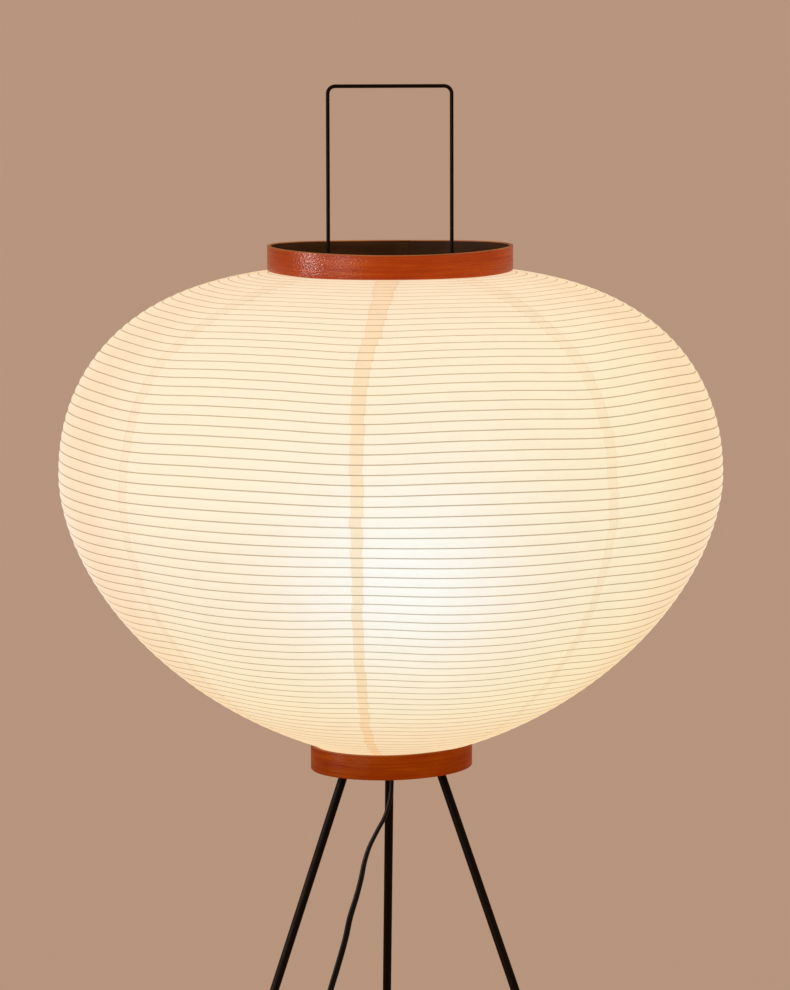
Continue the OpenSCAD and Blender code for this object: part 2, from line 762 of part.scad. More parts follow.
function catmull(a, b, c, d, t) = 0.5 * (2 * b + (c - a) * t + (2 * a - 5 * b + 4 * c - d) * t * t
                                         + (3 * b - a - 3 * c + d) * t * t * t);
// the route with one point more in each span, on a smooth curve
function smooth(p) = [for (i = [0:len(p) - 2], t = [0, 0.5])
        catmull(p[max(i - 1, 0)], p[i], p[i + 1], p[min(i + 2, len(p) - 1)], t),
    p[len(p) - 1]];
function route_dir(p, i) = unit(p[min(i + 1, len(p) - 1)] - p[max(i - 1, 0)]);
function square_to(v, t) = unit(v - (v * t) * t);
// side vectors that turn with the route and never twist
function side_dirs(p) = [for (i = 0, n = square_to([0.2, 1, 0.1], route_dir(p, 0)); i < len(p);
    i = i + 1, n = square_to(n, route_dir(p, min(i, len(p) - 1)))) n];

module tube(p, d, sides = 10) {
    n = side_dirs(p);
    last = len(p) - 1;
    points = [for (i = [0:last], k = [0:sides - 1])
        p[i] + d / 2 * (cos(360 * k / sides) * n[i]
                        + sin(360 * k / sides) * cross(route_dir(p, i), n[i]))];
    walls = [for (i = [0:last - 1], k = [0:sides - 1])
        let (a = i * sides, b = a + sides, m = (k + 1) % sides) [a + k, b + k, b + m, a + m]];
    polyhedron(points, concat([[for (k = [0:sides - 1]) k]], walls,
        [[for (k = [sides - 1:-1:0]) last * sides + k]]), convexity = 6);
}

module cord_lead() {
    color(black_rubber) at_lamp() tube(smooth(lead_route), cord_d);
}

module cord_tail() {
    color(black_rubber) at_lamp() tube(tail_route, cord_d);
}

module cord_coil() {
    color(black_rubber) at_lamp() translate(coil_at) rotate_extrude() hull()
        for (r = [coil_in_r, coil_out_r - cord_d], layer = [0:coil_layers - 1])
            translate([r + cord_d / 2, cord_d * (layer + 0.5)]) circle(d = cord_d, $fn = 32);
}

module cord_tie() {
    height = coil_layers * cord_d;
    color(black_moulding) at_lamp() translate([coil_at[0], coil_at[1], 0])
        rotate(tie_az) rotate_extrude(angle = tie_angle) difference() {
            translate([coil_in_r - tie_t, coil_at[2] - tie_t])
                square([coil_out_r - coil_in_r + 2 * tie_t, height + 2 * tie_t]);
            translate([coil_in_r, coil_at[2]]) square([coil_out_r - coil_in_r, height]);
        }
}

module cord_end() {
    color(black_rubber) at_lamp() tube(end_route, cord_d);
}

module at_switch() at_lamp() translate(switch_at) children();

module switch_base() {
    color(black_moulding) at_switch() difference() {
        cylinder(r = switch_r, h = base_t);
        switch_screw_sites() translate([0, 0, -hair]) {
            cylinder(d = screw_hole_d, h = base_t + 1);
            cylinder(d = head_d + 4 * screw_play, h = screw_sunk + hair);
        }
    }
}

module switch_screw_sites() {
    for (az = [50, 170, 290]) rotate(az) translate([switch_r - boss_in, 0, 0]) children();
}

// a domed shell with a collar for the button and a boss for each screw
module switch_shell() {
    hole_r = button_r + button_play;
    boss_top = switch_h - switch_wall - switch_crown;
    outer = shell_line(switch_r, switch_h);
    inner = shell_line(switch_r - switch_wall, switch_h - switch_wall);
    color(black_moulding) at_switch() difference() {
        union() {
            rotate_extrude() intersection() {
                polygon(concat(outer, [for (i = [len(inner) - 1:-1:0]) inner[i]]));
                translate([hole_r, base_t]) square([switch_r, switch_h]);
            }
            switch_screw_sites() translate([0, 0, base_t])
                cylinder(d = boss_d, h = boss_top - base_t);
        }
        switch_screw_sites() cylinder(d = screw_hole_d, h = screw_sunk + 2 * screw_l + 1);
        translate([0, switch_d, inlet_h]) rotate([90, 0, 0])
            cylinder(d = cord_d + sleeve_neck, h = 2 * switch_d);
    }
}

// upright wall, rounded shoulder and gently crowned top
function shell_line(r, h) = concat([[r, 0]],
    [for (a = [0:15:75]) [r - switch_edge * (1 - cos(a)), h - 2 - switch_edge * (1 - sin(a))]],
    [[r * crown_share, h - switch_crown], [0, h]]);

module switch_button() {
    top = switch_h + button_out;
    rim = button_r + button_flange;
    color(black_moulding) at_switch() difference() {
        rotate_extrude() polygon([[0, button_low], [rim, button_low],
            [rim, button_low + button_flange_t], [button_r, button_low + button_flange_t],
            [button_r, top - 3], [button_r - 1, top - 1.2], [button_r - 3, top - 0.4], [0, top]]);
        translate([0, 0, button_low - hair])
            cylinder(r = spring_r + spring_wire, h = button_roof + hair);
        translate([0, 0, button_low - hair]) cylinder(r = button_r - switch_wall, h = button_flange_t);
    }
}

module switch_spring() {
    steps = 14;
    rise = (spring_h - spring_wire) / (spring_coils * steps);
    wire = [for (i = [0:spring_coils * steps]) let (a = 360 * i / steps)
        [spring_r * cos(a), spring_r * sin(a), spring_z + spring_wire / 2 + rise * i]];
    color(zinc) at_switch() tube(wire, spring_wire, 8);
}

module switch_block() {
    color(porcelain) at_switch() translate([-block_size[0] / 2, -block_size[1] / 2, base_t])
        cube(block_size);
}

module switch_screws() {
    color(zinc) at_switch() switch_screw_sites() {
        translate([0, 0, screw_sunk - head_h]) cylinder(d = head_d, h = head_h);
        translate([0, 0, screw_sunk - hair]) cylinder(d = screw_d, h = 2 * screw_l);
    }
}

module switch_sleeves() {
    color(black_rubber) at_switch() for (side = [-1, 1]) rotate(side > 0 ? 0 : 180)
        translate([0, switch_r + sleeve_l, inlet_h]) rotate([90, 0, 0]) difference() {
            union() {
                cylinder(d1 = cord_d + relief[0], d2 = cord_d + relief[1], h = sleeve_l - hair);
                cylinder(d = cord_d + sleeve_neck, h = sleeve_l + sleeve_in);
            }
            translate([0, 0, sleeve_grip]) cylinder(d = cord_d, h = sleeve_l + sleeve_in);
        }
}

// a frame at the back of the plug's grip, with z along the plug
module at_plug() {
    at_lamp() translate([plug_at[0], plug_at[1], plug_z]) rotate([-90, 0, 0]) children();
}

// a flared grip with a flat nose, and the cord's strain relief behind it
module plug_body() {
    color(black_moulding) at_plug() difference() {
        union() {
            hull() {
                cylinder(d = plug_h - 4, h = 1, $fn = 32);
                for (side = [-1, 1])
                    translate([side * (plug_w - plug_shoulder) / 2, 0, plug_l - plug_shoulder])
                        cylinder(d = plug_h - 2, h = plug_shoulder, $fn = 32);
            }
            hull() for (side = [-1, 1]) translate([side * (plug_w / 2 - plug_z + 1), 0, plug_l])
                cylinder(d = plug_h, h = plug_nose, $fn = 32);
            translate([0, 0, -plug_tail])
                cylinder(d1 = cord_d + relief[0], d2 = cord_d + relief[1], h = plug_tail + 1);
        }
        pin_sites() cube([pin_t, pin_w, pin_root + 1]);
    }
}

module pin_sites() {
    for (side = [-1, 1])
        translate([side * pin_gap / 2 - pin_t / 2, -pin_w / 2, plug_l + plug_nose - pin_root])
            children();
}

module plug_pins() {
    color(brass) at_plug() pin_sites() cube([pin_t, pin_w, pin_root + pin_l]);
}

leg_left();
leg_right();
leg_back();
foot_left();
foot_right();
foot_back();
leg_nuts();
leg_sockets();
hub_plate();
stretcher_wire();
wire_nuts();
bottom_hoop();
hoop_carriers();
carrier_bolts();
carrier_screws();
shade_paper();
bamboo_ribs();
top_hoop();
hook_left();
hook_right();
hook_screws();
stem_pipe();
stem_nuts();
stem_wires();
cord_gland();
holder_base();
holder_sleeve();
holder_insert();
holder_thread();
holder_contact();
holder_grub_screw();
bulb_glass();
bulb_cap();
bulb_insulator();
bulb_contact();
cord_lead();
switch_base();
switch_shell();
switch_button();
switch_spring();
switch_block();
switch_screws();
switch_sleeves();
cord_tail();
cord_coil();
cord_tie();
cord_end();
plug_body();
plug_pins();
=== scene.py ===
"""Looks of a paper lantern floor lamp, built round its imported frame."""

import logging
import math
from collections.abc import Callable, Sequence
from dataclasses import dataclass, field
from enum import Enum
from typing import ClassVar

import bmesh
import bpy
from mathutils import Matrix, Vector


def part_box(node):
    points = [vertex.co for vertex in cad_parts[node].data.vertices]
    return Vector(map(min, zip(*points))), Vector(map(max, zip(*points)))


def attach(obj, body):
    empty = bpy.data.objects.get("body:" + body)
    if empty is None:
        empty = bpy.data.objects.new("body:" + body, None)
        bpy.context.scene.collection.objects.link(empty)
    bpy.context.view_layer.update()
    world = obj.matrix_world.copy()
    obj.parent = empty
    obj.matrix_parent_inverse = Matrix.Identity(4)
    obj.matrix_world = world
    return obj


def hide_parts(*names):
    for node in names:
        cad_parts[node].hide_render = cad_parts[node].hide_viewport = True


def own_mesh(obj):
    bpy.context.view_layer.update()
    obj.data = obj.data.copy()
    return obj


Point = tuple[float, float, float]
Socket = bpy.types.NodeSocket
Value = float | int | bool | Socket
Knots = tuple[tuple[float, float], ...]

MM = 0.001
TURN = 2 * math.pi
LOG = logging.getLogger("lantern")

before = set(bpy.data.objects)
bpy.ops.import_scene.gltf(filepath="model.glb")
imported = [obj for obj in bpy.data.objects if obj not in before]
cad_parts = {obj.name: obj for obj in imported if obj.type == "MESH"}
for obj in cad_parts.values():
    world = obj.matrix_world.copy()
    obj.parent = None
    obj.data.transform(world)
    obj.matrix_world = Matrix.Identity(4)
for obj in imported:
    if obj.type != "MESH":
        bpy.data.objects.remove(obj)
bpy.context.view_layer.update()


def linear(red: int, green: int, blue: int, alpha: float = 1.0) -> tuple[float, ...]:
    """Turns a display colour into the linear colour that a shader takes.

    Args:
        red: Red, from 0 to 255.
        green: Green, from 0 to 255.
        blue: Blue, from 0 to 255.
        alpha: Opacity.

    Returns:
        The four linear components.
    """
    parts = []
    for level in (red, green, blue):
        share = level / 255
        parts.append(share / 12.92 if share < 0.04045 else ((share + 0.055) / 1.055) ** 2.4)
    return (*parts, alpha)


def centre_of(node: str) -> Vector:
    """Gives the middle of a frame node's box."""
    low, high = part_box(node)
    return (low + high) / 2


LAMP_AXIS = centre_of("hub_plate")


def ease(share: float) -> float:
    """Goes from 0 to 1 with level ends."""
    share = min(max(share, 0.0), 1.0)
    return share * share * (3 - 2 * share)


class Body(Enum):
    """The bodies that the scene's own pieces ride on."""

    STAND = "stand"
    UPPER_HOOP = "top_hoop_set"
    BUTTON = "button"


# ---------------------------------------------------------------- node trees


class NodeWriter:
    """Writes a node tree, one short call for each node."""

    def __init__(self, tree: bpy.types.NodeTree) -> None:
        """Keeps the tree that is being written."""
        self.tree = tree

    def feed(self, target: Socket, value: object) -> None:
        """Links a value to a node's input, or sets it there.

        Args:
            target: The input.
            value: A socket to link, or the value itself.
        """
        if isinstance(value, bpy.types.NodeSocket):
            self.tree.links.new(value, target)
        else:
            target.default_value = value

    def add(self, kind: str, sockets: dict | None = None, **settings: object) -> bpy.types.Node:
        """Adds a node.

        Args:
            kind: The node's type.
            sockets: Values or links for its inputs, by name or number.
            **settings: The node's own properties.

        Returns:
            The new node.
        """
        node = self.tree.nodes.new(kind)
        for name, value in settings.items():
            setattr(node, name, value)
        for key, value in (sockets or {}).items():
            self.feed(node.inputs[key], value)
        return node

    def out(self, kind: str, sockets: dict | None = None, **settings: object) -> Socket:
        """Adds a node and gives its first output."""
        return self.add(kind, sockets, **settings).outputs[0]

    def math(self, operation: str, *terms: Value) -> Socket:
        """Adds a math node and gives its result."""
        return self.out("ShaderNodeMath", dict(enumerate(terms)), operation=operation)

    def plus(self, one: Value, other: Value) -> Socket:
        """Adds two numbers."""
        return self.math("ADD", one, other)

    def minus(self, one: Value, other: Value) -> Socket:
        """Takes the second number from the first."""
        return self.math("SUBTRACT", one, other)

    def times(self, one: Value, other: Value) -> Socket:
        """Multiplies two numbers."""
        return self.math("MULTIPLY", one, other)

    def over(self, one: Value, other: Value) -> Socket:
        """Divides the first number by the second."""
        return self.math("DIVIDE", one, other)

    def held(self, value: Value, low: Value, high: Value) -> Socket:
        """Keeps a number between two others."""
        return self.math("MINIMUM", self.math("MAXIMUM", value, low), high)

    def join(self, x: Value = 0.0, y: Value = 0.0, z: Value = 0.0) -> Socket:
        """Joins three numbers into a vector."""
        return self.out("ShaderNodeCombineXYZ", {0: x, 1: y, 2: z})

    def split(self, vector: Socket) -> list[Socket]:
        """Splits a vector into its three numbers."""
        return list(self.add("ShaderNodeSeparateXYZ", {0: vector}).outputs)

    def remap(self, value: Socket, low: float, high: float, to: float, end: float) -> Socket:
        """Maps a number from one range to another, held at the ends."""
        return self.out("ShaderNodeMapRange", {0: value, 1: low, 2: high, 3: to, 4: end})

    def curve(self, value: Socket, points: Sequence[tuple[float, float]]) -> Socket:
        """Reads a number off a smooth curve.

        Args:
            value: Where to read it, from 0 to 1.
            points: Place and level of each knot, both from 0 to 1.

        Returns:
            The level there.
        """
        node = self.add("ShaderNodeFloatCurve", {"Value": value})
        line = node.mapping.curves[0]
        while len(line.points) < len(points):
            line.points.new(0.5, 0.5)
        for knot, (place, level) in zip(line.points, points):
            knot.location = (place, level)
        node.mapping.update()
        return node.outputs[0]


class GeometryTree(NodeWriter):
    """A geometry node tree with named inputs and outputs."""

    def __init__(self, name: str, inputs: dict[str, str], outputs: dict[str, str]) -> None:
        """Starts the tree.

        Args:
            name: The tree's name.
            inputs: Kind of each input, by name.
            outputs: Kind of each output, by name.
        """
        super().__init__(bpy.data.node_groups.new(name, "GeometryNodeTree"))
        for side, sockets in (("INPUT", inputs), ("OUTPUT", outputs)):
            for label, kind in sockets.items():
                self.tree.interface.new_socket(label, in_out=side, socket_type="NodeSocket" + kind)
        self.given = self.add("NodeGroupInput").outputs
        self.result = self.add("NodeGroupOutput").inputs

    def give(self, label: str, value: Socket) -> None:
        """Links a value to one of the tree's outputs."""
        self.tree.links.new(value, self.result[label])

    def use(self, tree: bpy.types.NodeTree, sockets: dict[str, Value]) -> bpy.types.Node:
        """Adds another tree as a node."""
        return self.add("GeometryNodeGroup", sockets, node_tree=tree)

    def moved(self, mesh: Socket, position: Socket) -> Socket:
        """Moves the points of a mesh to the positions."""
        return self.out("GeometryNodeSetPosition", {"Geometry": mesh, "Position": position})

    def real(self, mesh: Socket) -> Socket:
        """Makes every instance real."""
        return self.out("GeometryNodeRealizeInstances", {"Geometry": mesh})

    def dress(self, mesh: Socket, finish: Socket, chosen: Value = True) -> Socket:
        """Gives the chosen faces a material."""
        sockets = {"Geometry": mesh, "Selection": chosen, "Material": finish}
        return self.out("GeometryNodeSetMaterial", sockets)


def in_scene(name: str, data: bpy.types.ID) -> bpy.types.Object:
    """Puts an object into the scene.

    Args:
        name: The object's name.
        data: Its mesh, camera or lamp.

    Returns:
        The object.
    """
    made = bpy.data.objects.new(name, data)
    bpy.context.collection.objects.link(made)
    return made


def kept_mesh(name: str, build: bmesh.types.BMesh) -> bpy.types.Mesh:
    """Keeps what was built as a plain mesh.

    Args:
        name: The mesh's name.
        build: The points and faces, which are let go afterwards.

    Returns:
        The mesh.
    """
    mesh = bpy.data.meshes.new(name)
    build.to_mesh(mesh)
    build.free()
    return mesh


def skin(
    build: bmesh.types.BMesh,
    rings: Sequence[Sequence[bmesh.types.BMVert]],
    corners: Sequence[tuple[int, int]],
    chart: bmesh.types.BMLayerItem,
    place: Callable[[int, int], tuple[float, float]],
) -> list[bmesh.types.BMFace]:
    """Joins a row of rings with smooth faces and lays their map.

    Args:
        build: Where the rings were made.
        rings: The points of each ring, the same number in each.
        corners: Steps along and round from a point to the corners of its face.
        chart: The map to fill.
        place: Gives the place on the map of a ring's point.

    Returns:
        The faces, ring by ring.
    """
    count = len(rings[0])
    faces = []
    for i in range(len(rings) - 1):
        for k in range(count):
            face = build.faces.new([rings[i + a][(k + b) % count] for a, b in corners])
            face.smooth = True
            for loop, (a, b) in zip(face.loops, corners):
                loop[chart].uv = place(i + a, k + b)
            faces.append(face)
    return faces


def grown(
    name: str,
    tree: bpy.types.NodeTree,
    inputs: dict[str, object],
    wall: float = 0.0,
    bevel: float = 0.0,
) -> bpy.types.Mesh:
    """Runs a geometry tree and keeps its result as a plain mesh.

    Args:
        name: The mesh's name.
        tree: The tree to run.
        inputs: Value of each of its inputs, by name.
        wall: Thickness given inwards to an open surface, in metres.
        bevel: Width of a bevel on sharp edges, in metres.

    Returns:
        The finished mesh.
    """
    seed = in_scene(name + "_tree", bpy.data.meshes.new(name + "_seed"))
    modifier = seed.modifiers.new("Tree", "NODES")
    modifier.node_group = tree
    for item in tree.interface.items_tree:
        if item.in_out == "INPUT" and item.name in inputs:
            modifier[item.identifier] = inputs[item.name]
    if wall:
        solid = seed.modifiers.new("Wall", "SOLIDIFY")
        solid.thickness = wall
        solid.offset = -1
    if bevel:
        edge = seed.modifiers.new("Edge", "BEVEL")
        edge.width = bevel
        edge.segments = 2
    graph = bpy.context.evaluated_depsgraph_get()
    mesh = bpy.data.meshes.new_from_object(seed.evaluated_get(graph), depsgraph=graph)
    mesh.name = name
    bpy.data.objects.remove(seed)
    return mesh


def piece(name: str, mesh: bpy.types.Mesh, body: Body, slot: str, *nodes: str) -> bpy.types.Object:
    """Puts a finished mesh on its body.

    Args:
        name: The piece's name.
        mesh: Its mesh, in place.
        body: The body that it moves with.
        slot: A material slot's name; not used.
        *nodes: The frame's nodes that it stands for.

    Returns:
        The piece.
    """
    made = in_scene(name, mesh)
    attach(made, body.value)
    if nodes:
        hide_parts(*nodes)
    LOG.info("%s: %d faces on %s", name, len(mesh.polygons), body.value)
    return made


# ---------------------------------------------------------------- finishes


class ShaderTree(NodeWriter):
    """A material in the making, round one principled shader."""

    def __init__(self, name: str) -> None:
        """Starts a material with an empty tree.

        Args:
            name: The material's name.
        """
        self.material = bpy.data.materials.new(name)
        self.material.use_nodes = True
        super().__init__(self.material.node_tree)
        self.tree.nodes.clear()
        self.shader = self.add("ShaderNodeBsdfPrincipled")
        self.add("ShaderNodeOutputMaterial", {"Surface": self.shader.outputs[0]})
        self.place = self.add("ShaderNodeTexCoord").outputs["Object"]

    def put(self, **sockets: object) -> None:
        """Sets or links the shader's inputs, with _ for each space in a name."""
        for name, value in sockets.items():
            self.feed(self.shader.inputs[name.replace("_", " ")], value)

    def stretched(self, scale: Point, source: Socket | None = None) -> Socket:
        """Scales the coordinates by a different amount each way."""
        sockets = {"Vector": source or self.place, "Scale": scale}
        return self.out("ShaderNodeMapping", sockets)

    def noise(self, scale: float, detail: float = 3.0, at: Socket | None = None) -> Socket:
        """Gives soft noise from 0 to 1."""
        sockets = {"Vector": at or self.place, "Scale": scale, "Detail": detail}
        return self.out("ShaderNodeTexNoise", sockets)

    def ramp(self, share: Socket, *stops: tuple[float, tuple[float, ...]]) -> Socket:
        """Turns a share into a colour between the stops.

        Args:
            share: A number from 0 to 1.
            *stops: Place and colour of each stop.

        Returns:
            The colour.
        """
        node = self.add("ShaderNodeValToRGB", {0: share})
        band = node.color_ramp
        while len(band.elements) < len(stops):
            band.elements.new(0.5)
        for knot, (place, colour) in zip(band.elements, stops):
            knot.position = place
            knot.color = colour
        return node.outputs[0]

    def blend(self, share: Value, low: object, high: object, how: str = "MIX") -> Socket:
        """Mixes two colours."""
        sockets = {0: share, 6: low, 7: high}
        return self.add("ShaderNodeMix", sockets, data_type="RGBA", blend_type=how).outputs[2]

    def bump(self, height: Socket, depth: float, strength: float = 0.5) -> None:
        """Raises the surface by a height map, depth in metres."""
        sockets = {"Height": height, "Distance": depth, "Strength": strength}
        self.put(Normal=self.add("ShaderNodeBump", sockets).outputs["Normal"])


@dataclass(frozen=True)
class Lacquer:
    """Paint, lacquer, moulding or rubber: one colour with fine unevenness and a grain.

    Attributes:
        name: The finish's name.
        dark: Its darkest tone.
        light: Its lightest tone.
        roughness: Middle of its roughness.
        grain: How fine the grain is.
        grain_depth: Depth of the grain, in metres.
        patch: How fine the uneven patches are.
        coat: Strength of a clear coat.
        specular: Strength of its gloss.
    """

    name: str
    dark: tuple[float, ...]
    light: tuple[float, ...]
    roughness: float = 0.45
    grain: float = 900.0
    grain_depth: float = 0.00004
    patch: float = 14.0
    coat: float = 0.0
    specular: float = 0.5

    def build(self) -> bpy.types.Material:
        """Builds the material.

        Returns:
            The material.
        """
        s = ShaderTree(self.name)
        cloud = s.noise(self.patch, 4)
        fine = s.noise(self.grain, 2)
        tone = s.plus(s.times(cloud, 0.7), s.times(fine, 0.3))
        s.put(
            Base_Color=s.ramp(tone, (0.3, self.dark), (0.7, self.light)),
            Roughness=s.remap(s.noise(self.patch * 5, 5), 0.3, 0.7,
                              self.roughness - 0.07, self.roughness + 0.09),
            Specular_IOR_Level=self.specular,
            Coat_Weight=self.coat,
            Coat_Roughness=0.25,
        )
        s.bump(fine, self.grain_depth)
        return s.material


@dataclass(frozen=True)
class BareMetal:
    """Plated or plain metal with fine drawing lines and a little tarnish.

    Attributes:
        name: The finish's name.
        bright: Its clean tone.
        dull: Its tarnished tone.
        roughness: Middle of its roughness.
        lines: How fine the drawing lines are, each way.
    """

    name: str
    bright: tuple[float, ...]
    dull: tuple[float, ...]
    roughness: float = 0.32
    lines: Point = (40.0, 40.0, 2600.0)

    def build(self) -> bpy.types.Material:
        """Builds the material.

        Returns:
            The material.
        """
        s = ShaderTree(self.name)
        drawn = s.noise(1.0, 3, s.stretched(self.lines))
        cloud = s.noise(60.0, 4)
        s.put(
            Base_Color=s.ramp(cloud, (0.35, self.dull), (0.65, self.bright)),
            Metallic=1.0,
            Roughness=s.remap(drawn, 0.3, 0.7, self.roughness - 0.1, self.roughness + 0.12),
        )
        s.bump(drawn, 0.00003, 0.4)
        return s.material


class WoodFace(Enum):
    """The faces of the bent strips, each with its own finish."""

    OUTSIDE = "varnished_wood"
    # The lower hoop's outside: the same varnish in a darker copy, painted shade under the lantern.
    LOWER_OUTSIDE_IN_PAINTED_SHADE = "varnished_wood_in_painted_shade"
    # The strips' inner face, given a very dark brown.
    INSIDE = "dark_inside"
    RIM = "bare_rim"


@dataclass(frozen=True)
class BentWood:
    """Varnished bent wood, with its fine grain along the strip.

    Attributes:
        face: The face of the strip that wears it.
        dark: Tone of the dark grain.
        middle: Tone between the two.
        light: Tone of the light grain.
        roughness: Middle of its roughness.
        specular: Strength of its gloss.
        relief: Depth of its pores, in metres.
    """

    face: WoodFace
    dark: tuple[float, ...]
    middle: tuple[float, ...]
    light: tuple[float, ...]
    roughness: float
    specular: float
    relief: float

    @property
    def name(self) -> str:
        """The finish's name."""
        return self.face.value

    def build(self) -> bpy.types.Material:
        """Builds the material. The strip's own map runs along it, in metres.

        Returns:
            The material.
        """
        s = ShaderTree(self.name)
        strip = s.out("ShaderNodeUVMap", uv_map="strip")
        fibre = s.noise(1.0, 5, s.stretched((26.0, 2300.0, 1.0), strip))
        vein = s.noise(1.0, 3, s.stretched((9.0, 420.0, 1.0), strip))
        cloud = s.noise(1.0, 2, s.stretched((22.0, 60.0, 1.0), strip))
        grain = s.plus(s.times(fibre, 0.5), s.times(vein, 0.5))
        tone = s.plus(s.times(grain, 0.72), s.times(cloud, 0.28))
        pore = s.noise(1.0, 1, s.stretched((480.0, 760.0, 1.0), strip))
        relief = s.plus(s.times(pore, 0.7), s.times(fibre, 0.3))
        s.put(
            Base_Color=s.ramp(tone, (0.34, self.dark), (0.5, self.middle), (0.66, self.light)),
            Roughness=s.remap(fibre, 0.35, 0.65, self.roughness - 0.06, self.roughness + 0.1),
            Specular_IOR_Level=self.specular,
        )
        s.bump(relief, self.relief, 0.7)
        return s.material


@dataclass(frozen=True)
class GlowingPaper:
    """Handmade paper lit from behind: cloudy fibres, under a painted glow with painted bright spots
    level with the bulb.

    Attributes:
        name: The finish's name.
        warm: Painted glow towards the sides and the two ends.
        mild: Glow over the rest.
        hot: Tone of the painted bright spots level with the bulb.
        base: The paper's own colour under other light.
        bulb: Middle of the bulb.
        cloud: Share of the glow that the thickest fibres take.
        upper_lift: Share of glow added at the top.
        glow: Strength of the glow.
        spot_rise: Height of the bright spots above the bulb's middle, in metres.
        spot_reach: Height over which they fade to about a third, in metres.
        front_narrow: How fast the spots in front and behind fade round the lantern.
        side_narrow: How fast the spots at the sides do.
        side_share: Strength of the side spots, beside 1 in front.
        all_round: Share of the bright spots that shows all round.
        low_edge: Height at which end_tones starts, in metres.
        top_edge: Height at which it ends, in metres.
        end_tones: Share of the mild tone up the lantern.
        side_tones: Share of the mild tone from the sides to the front and back.
        foot: Height of the paper's foot, in metres.
        head: Height of its head.
        foot_level: Level of the glow at the foot.
        head_level: Level of the glow at the head.
        lift_from: Height from which upper_lift sets in.
        yellow_below: Height below which the glow turns yellow.
        yellow_right: Place to the right of the bulb from which it does, and where
            it is yellowest.
        yellowing: Share of the blue that it loses there, and at the foot.
    """

    name: str
    warm: tuple[float, ...]
    mild: tuple[float, ...]
    hot: tuple[float, ...]
    base: tuple[float, ...]
    bulb: Vector
    cloud: float = 0.05
    upper_lift: float = 0.0
    glow: float = 0.91
    spot_rise: float = 0.027
    spot_reach: float = 0.088
    front_narrow: float = 3.7
    side_narrow: float = 10
    side_share: float = 0.45
    all_round: float = 0.06
    low_edge: float = 0.68
    top_edge: float = 1.06
    end_tones: Knots = (
        (0, 0.0), (0.09, 0.45), (0.16, 0.92), (0.24, 1.0), (0.8, 0.96), (0.89, 0.8),
        (0.97, 0.35), (1, 0.2))
    side_tones: Knots = (
        (0, 0.5), (0.03, 0.3), (0.1, 0.06), (0.3, 0.5), (0.48, 0.93), (1, 1))
    foot: float = 0.70
    head: float = 1.05
    foot_level: float = 1.04
    head_level: float = 0.96
    lift_from: float = 0.93
    yellow_below: float = 0.82
    yellow_right: tuple[float, float] = (0.05, 0.24)
    yellowing: float = 0.10

    def build(self) -> bpy.types.Material:
        """Builds the material.

        Returns:
            A material whose painted glow falls with the height and turn away from its painted
            bright spots.
        """
        s = ShaderTree(self.name)
        x, y, z = s.split(s.place)
        x = s.minus(x, self.bulb.x)
        y = s.minus(y, self.bulb.y)
        # Painted bright spots, fixed in front and behind and weaker at the sides, stand in for the
        # bulb shining through.
        turn = s.math("ARCTAN2", x, s.times(y, -1))
        twice = s.math("COSINE", s.times(turn, 2))
        front = s.math("EXPONENT", s.times(s.minus(twice, 1), self.front_narrow))
        side = s.math("EXPONENT", s.times(s.plus(twice, 1), -self.side_narrow))
        lobe = s.math("MULTIPLY_ADD", side, self.side_share, front)
        rise = s.over(s.minus(z, self.bulb.z + self.spot_rise), self.spot_reach)
        fall = s.math("EXPONENT", s.times(s.times(rise, rise), -1))
        near = s.times(s.math("MULTIPLY_ADD", lobe, 1 - self.all_round, self.all_round), fall)
        # Painted glow: warmer towards the sides and the two ends, brighter at the foot, lifted at
        # the top and yellower low down and to the right.
        ends = s.curve(s.remap(z, self.low_edge, self.top_edge, 0, 1), self.end_tones)
        wide = s.curve(s.remap(twice, -1, 1, 0, 1), self.side_tones)
        fibre = s.noise(1.0, 6, s.stretched((60.0, 60.0, 130.0)))
        mould = s.noise(420.0, 4)
        haze = s.plus(s.times(fibre, 0.6), s.times(mould, 0.4))
        tone = s.blend(s.times(ends, wide), self.warm, self.mild)
        tone = s.blend(near, tone, self.hot)
        shade = s.remap(haze, 0.3, 0.7, 1 - self.cloud, 1.0)
        level = s.times(
            s.remap(z, self.foot, self.head, self.foot_level, self.head_level),
            s.remap(z, self.lift_from, self.head, 1.0, 1 + self.upper_lift))
        level = s.times(shade, level)
        yellow = s.plus(s.remap(z, self.yellow_below, self.foot, 0, self.yellowing),
                        s.remap(x, *self.yellow_right, 0, self.yellowing))
        blue = s.times(level, s.minus(1, yellow))
        s.put(
            Base_Color=s.blend(1.0, self.base, s.join(shade, shade, shade), "MULTIPLY"),
            Emission_Color=s.blend(1.0, tone, s.join(level, level, blue), "MULTIPLY"),
            Emission_Strength=self.glow,
            Roughness=s.remap(haze, 0.3, 0.7, 0.62, 0.82),
            Specular_IOR_Level=0.25,
        )
        s.bump(haze, 0.00025, 0.4)
        return s.material


@dataclass(frozen=True)
class OpalGlass:
    """The bulb's white glass, lit from inside.

    Attributes:
        name: The finish's name.
        glow: Strength of its glow.
    """

    name: str = "opal_glass"
    glow: float = 0.6

    def build(self) -> bpy.types.Material:
        """Builds the material.

        Returns:
            The material.
        """
        s = ShaderTree(self.name)
        cloud = s.noise(30.0, 3)
        s.put(
            Base_Color=s.ramp(cloud, (0.3, linear(150, 147, 140)), (0.7, linear(160, 157, 150))),
            Roughness=s.remap(cloud, 0.3, 0.7, 0.18, 0.26),
            Coat_Weight=0.5,
            Emission_Color=s.ramp(cloud, (0.3, linear(255, 240, 212)),
                                  (0.7, linear(255, 246, 226))),
            Emission_Strength=self.glow,
        )
        return s.material


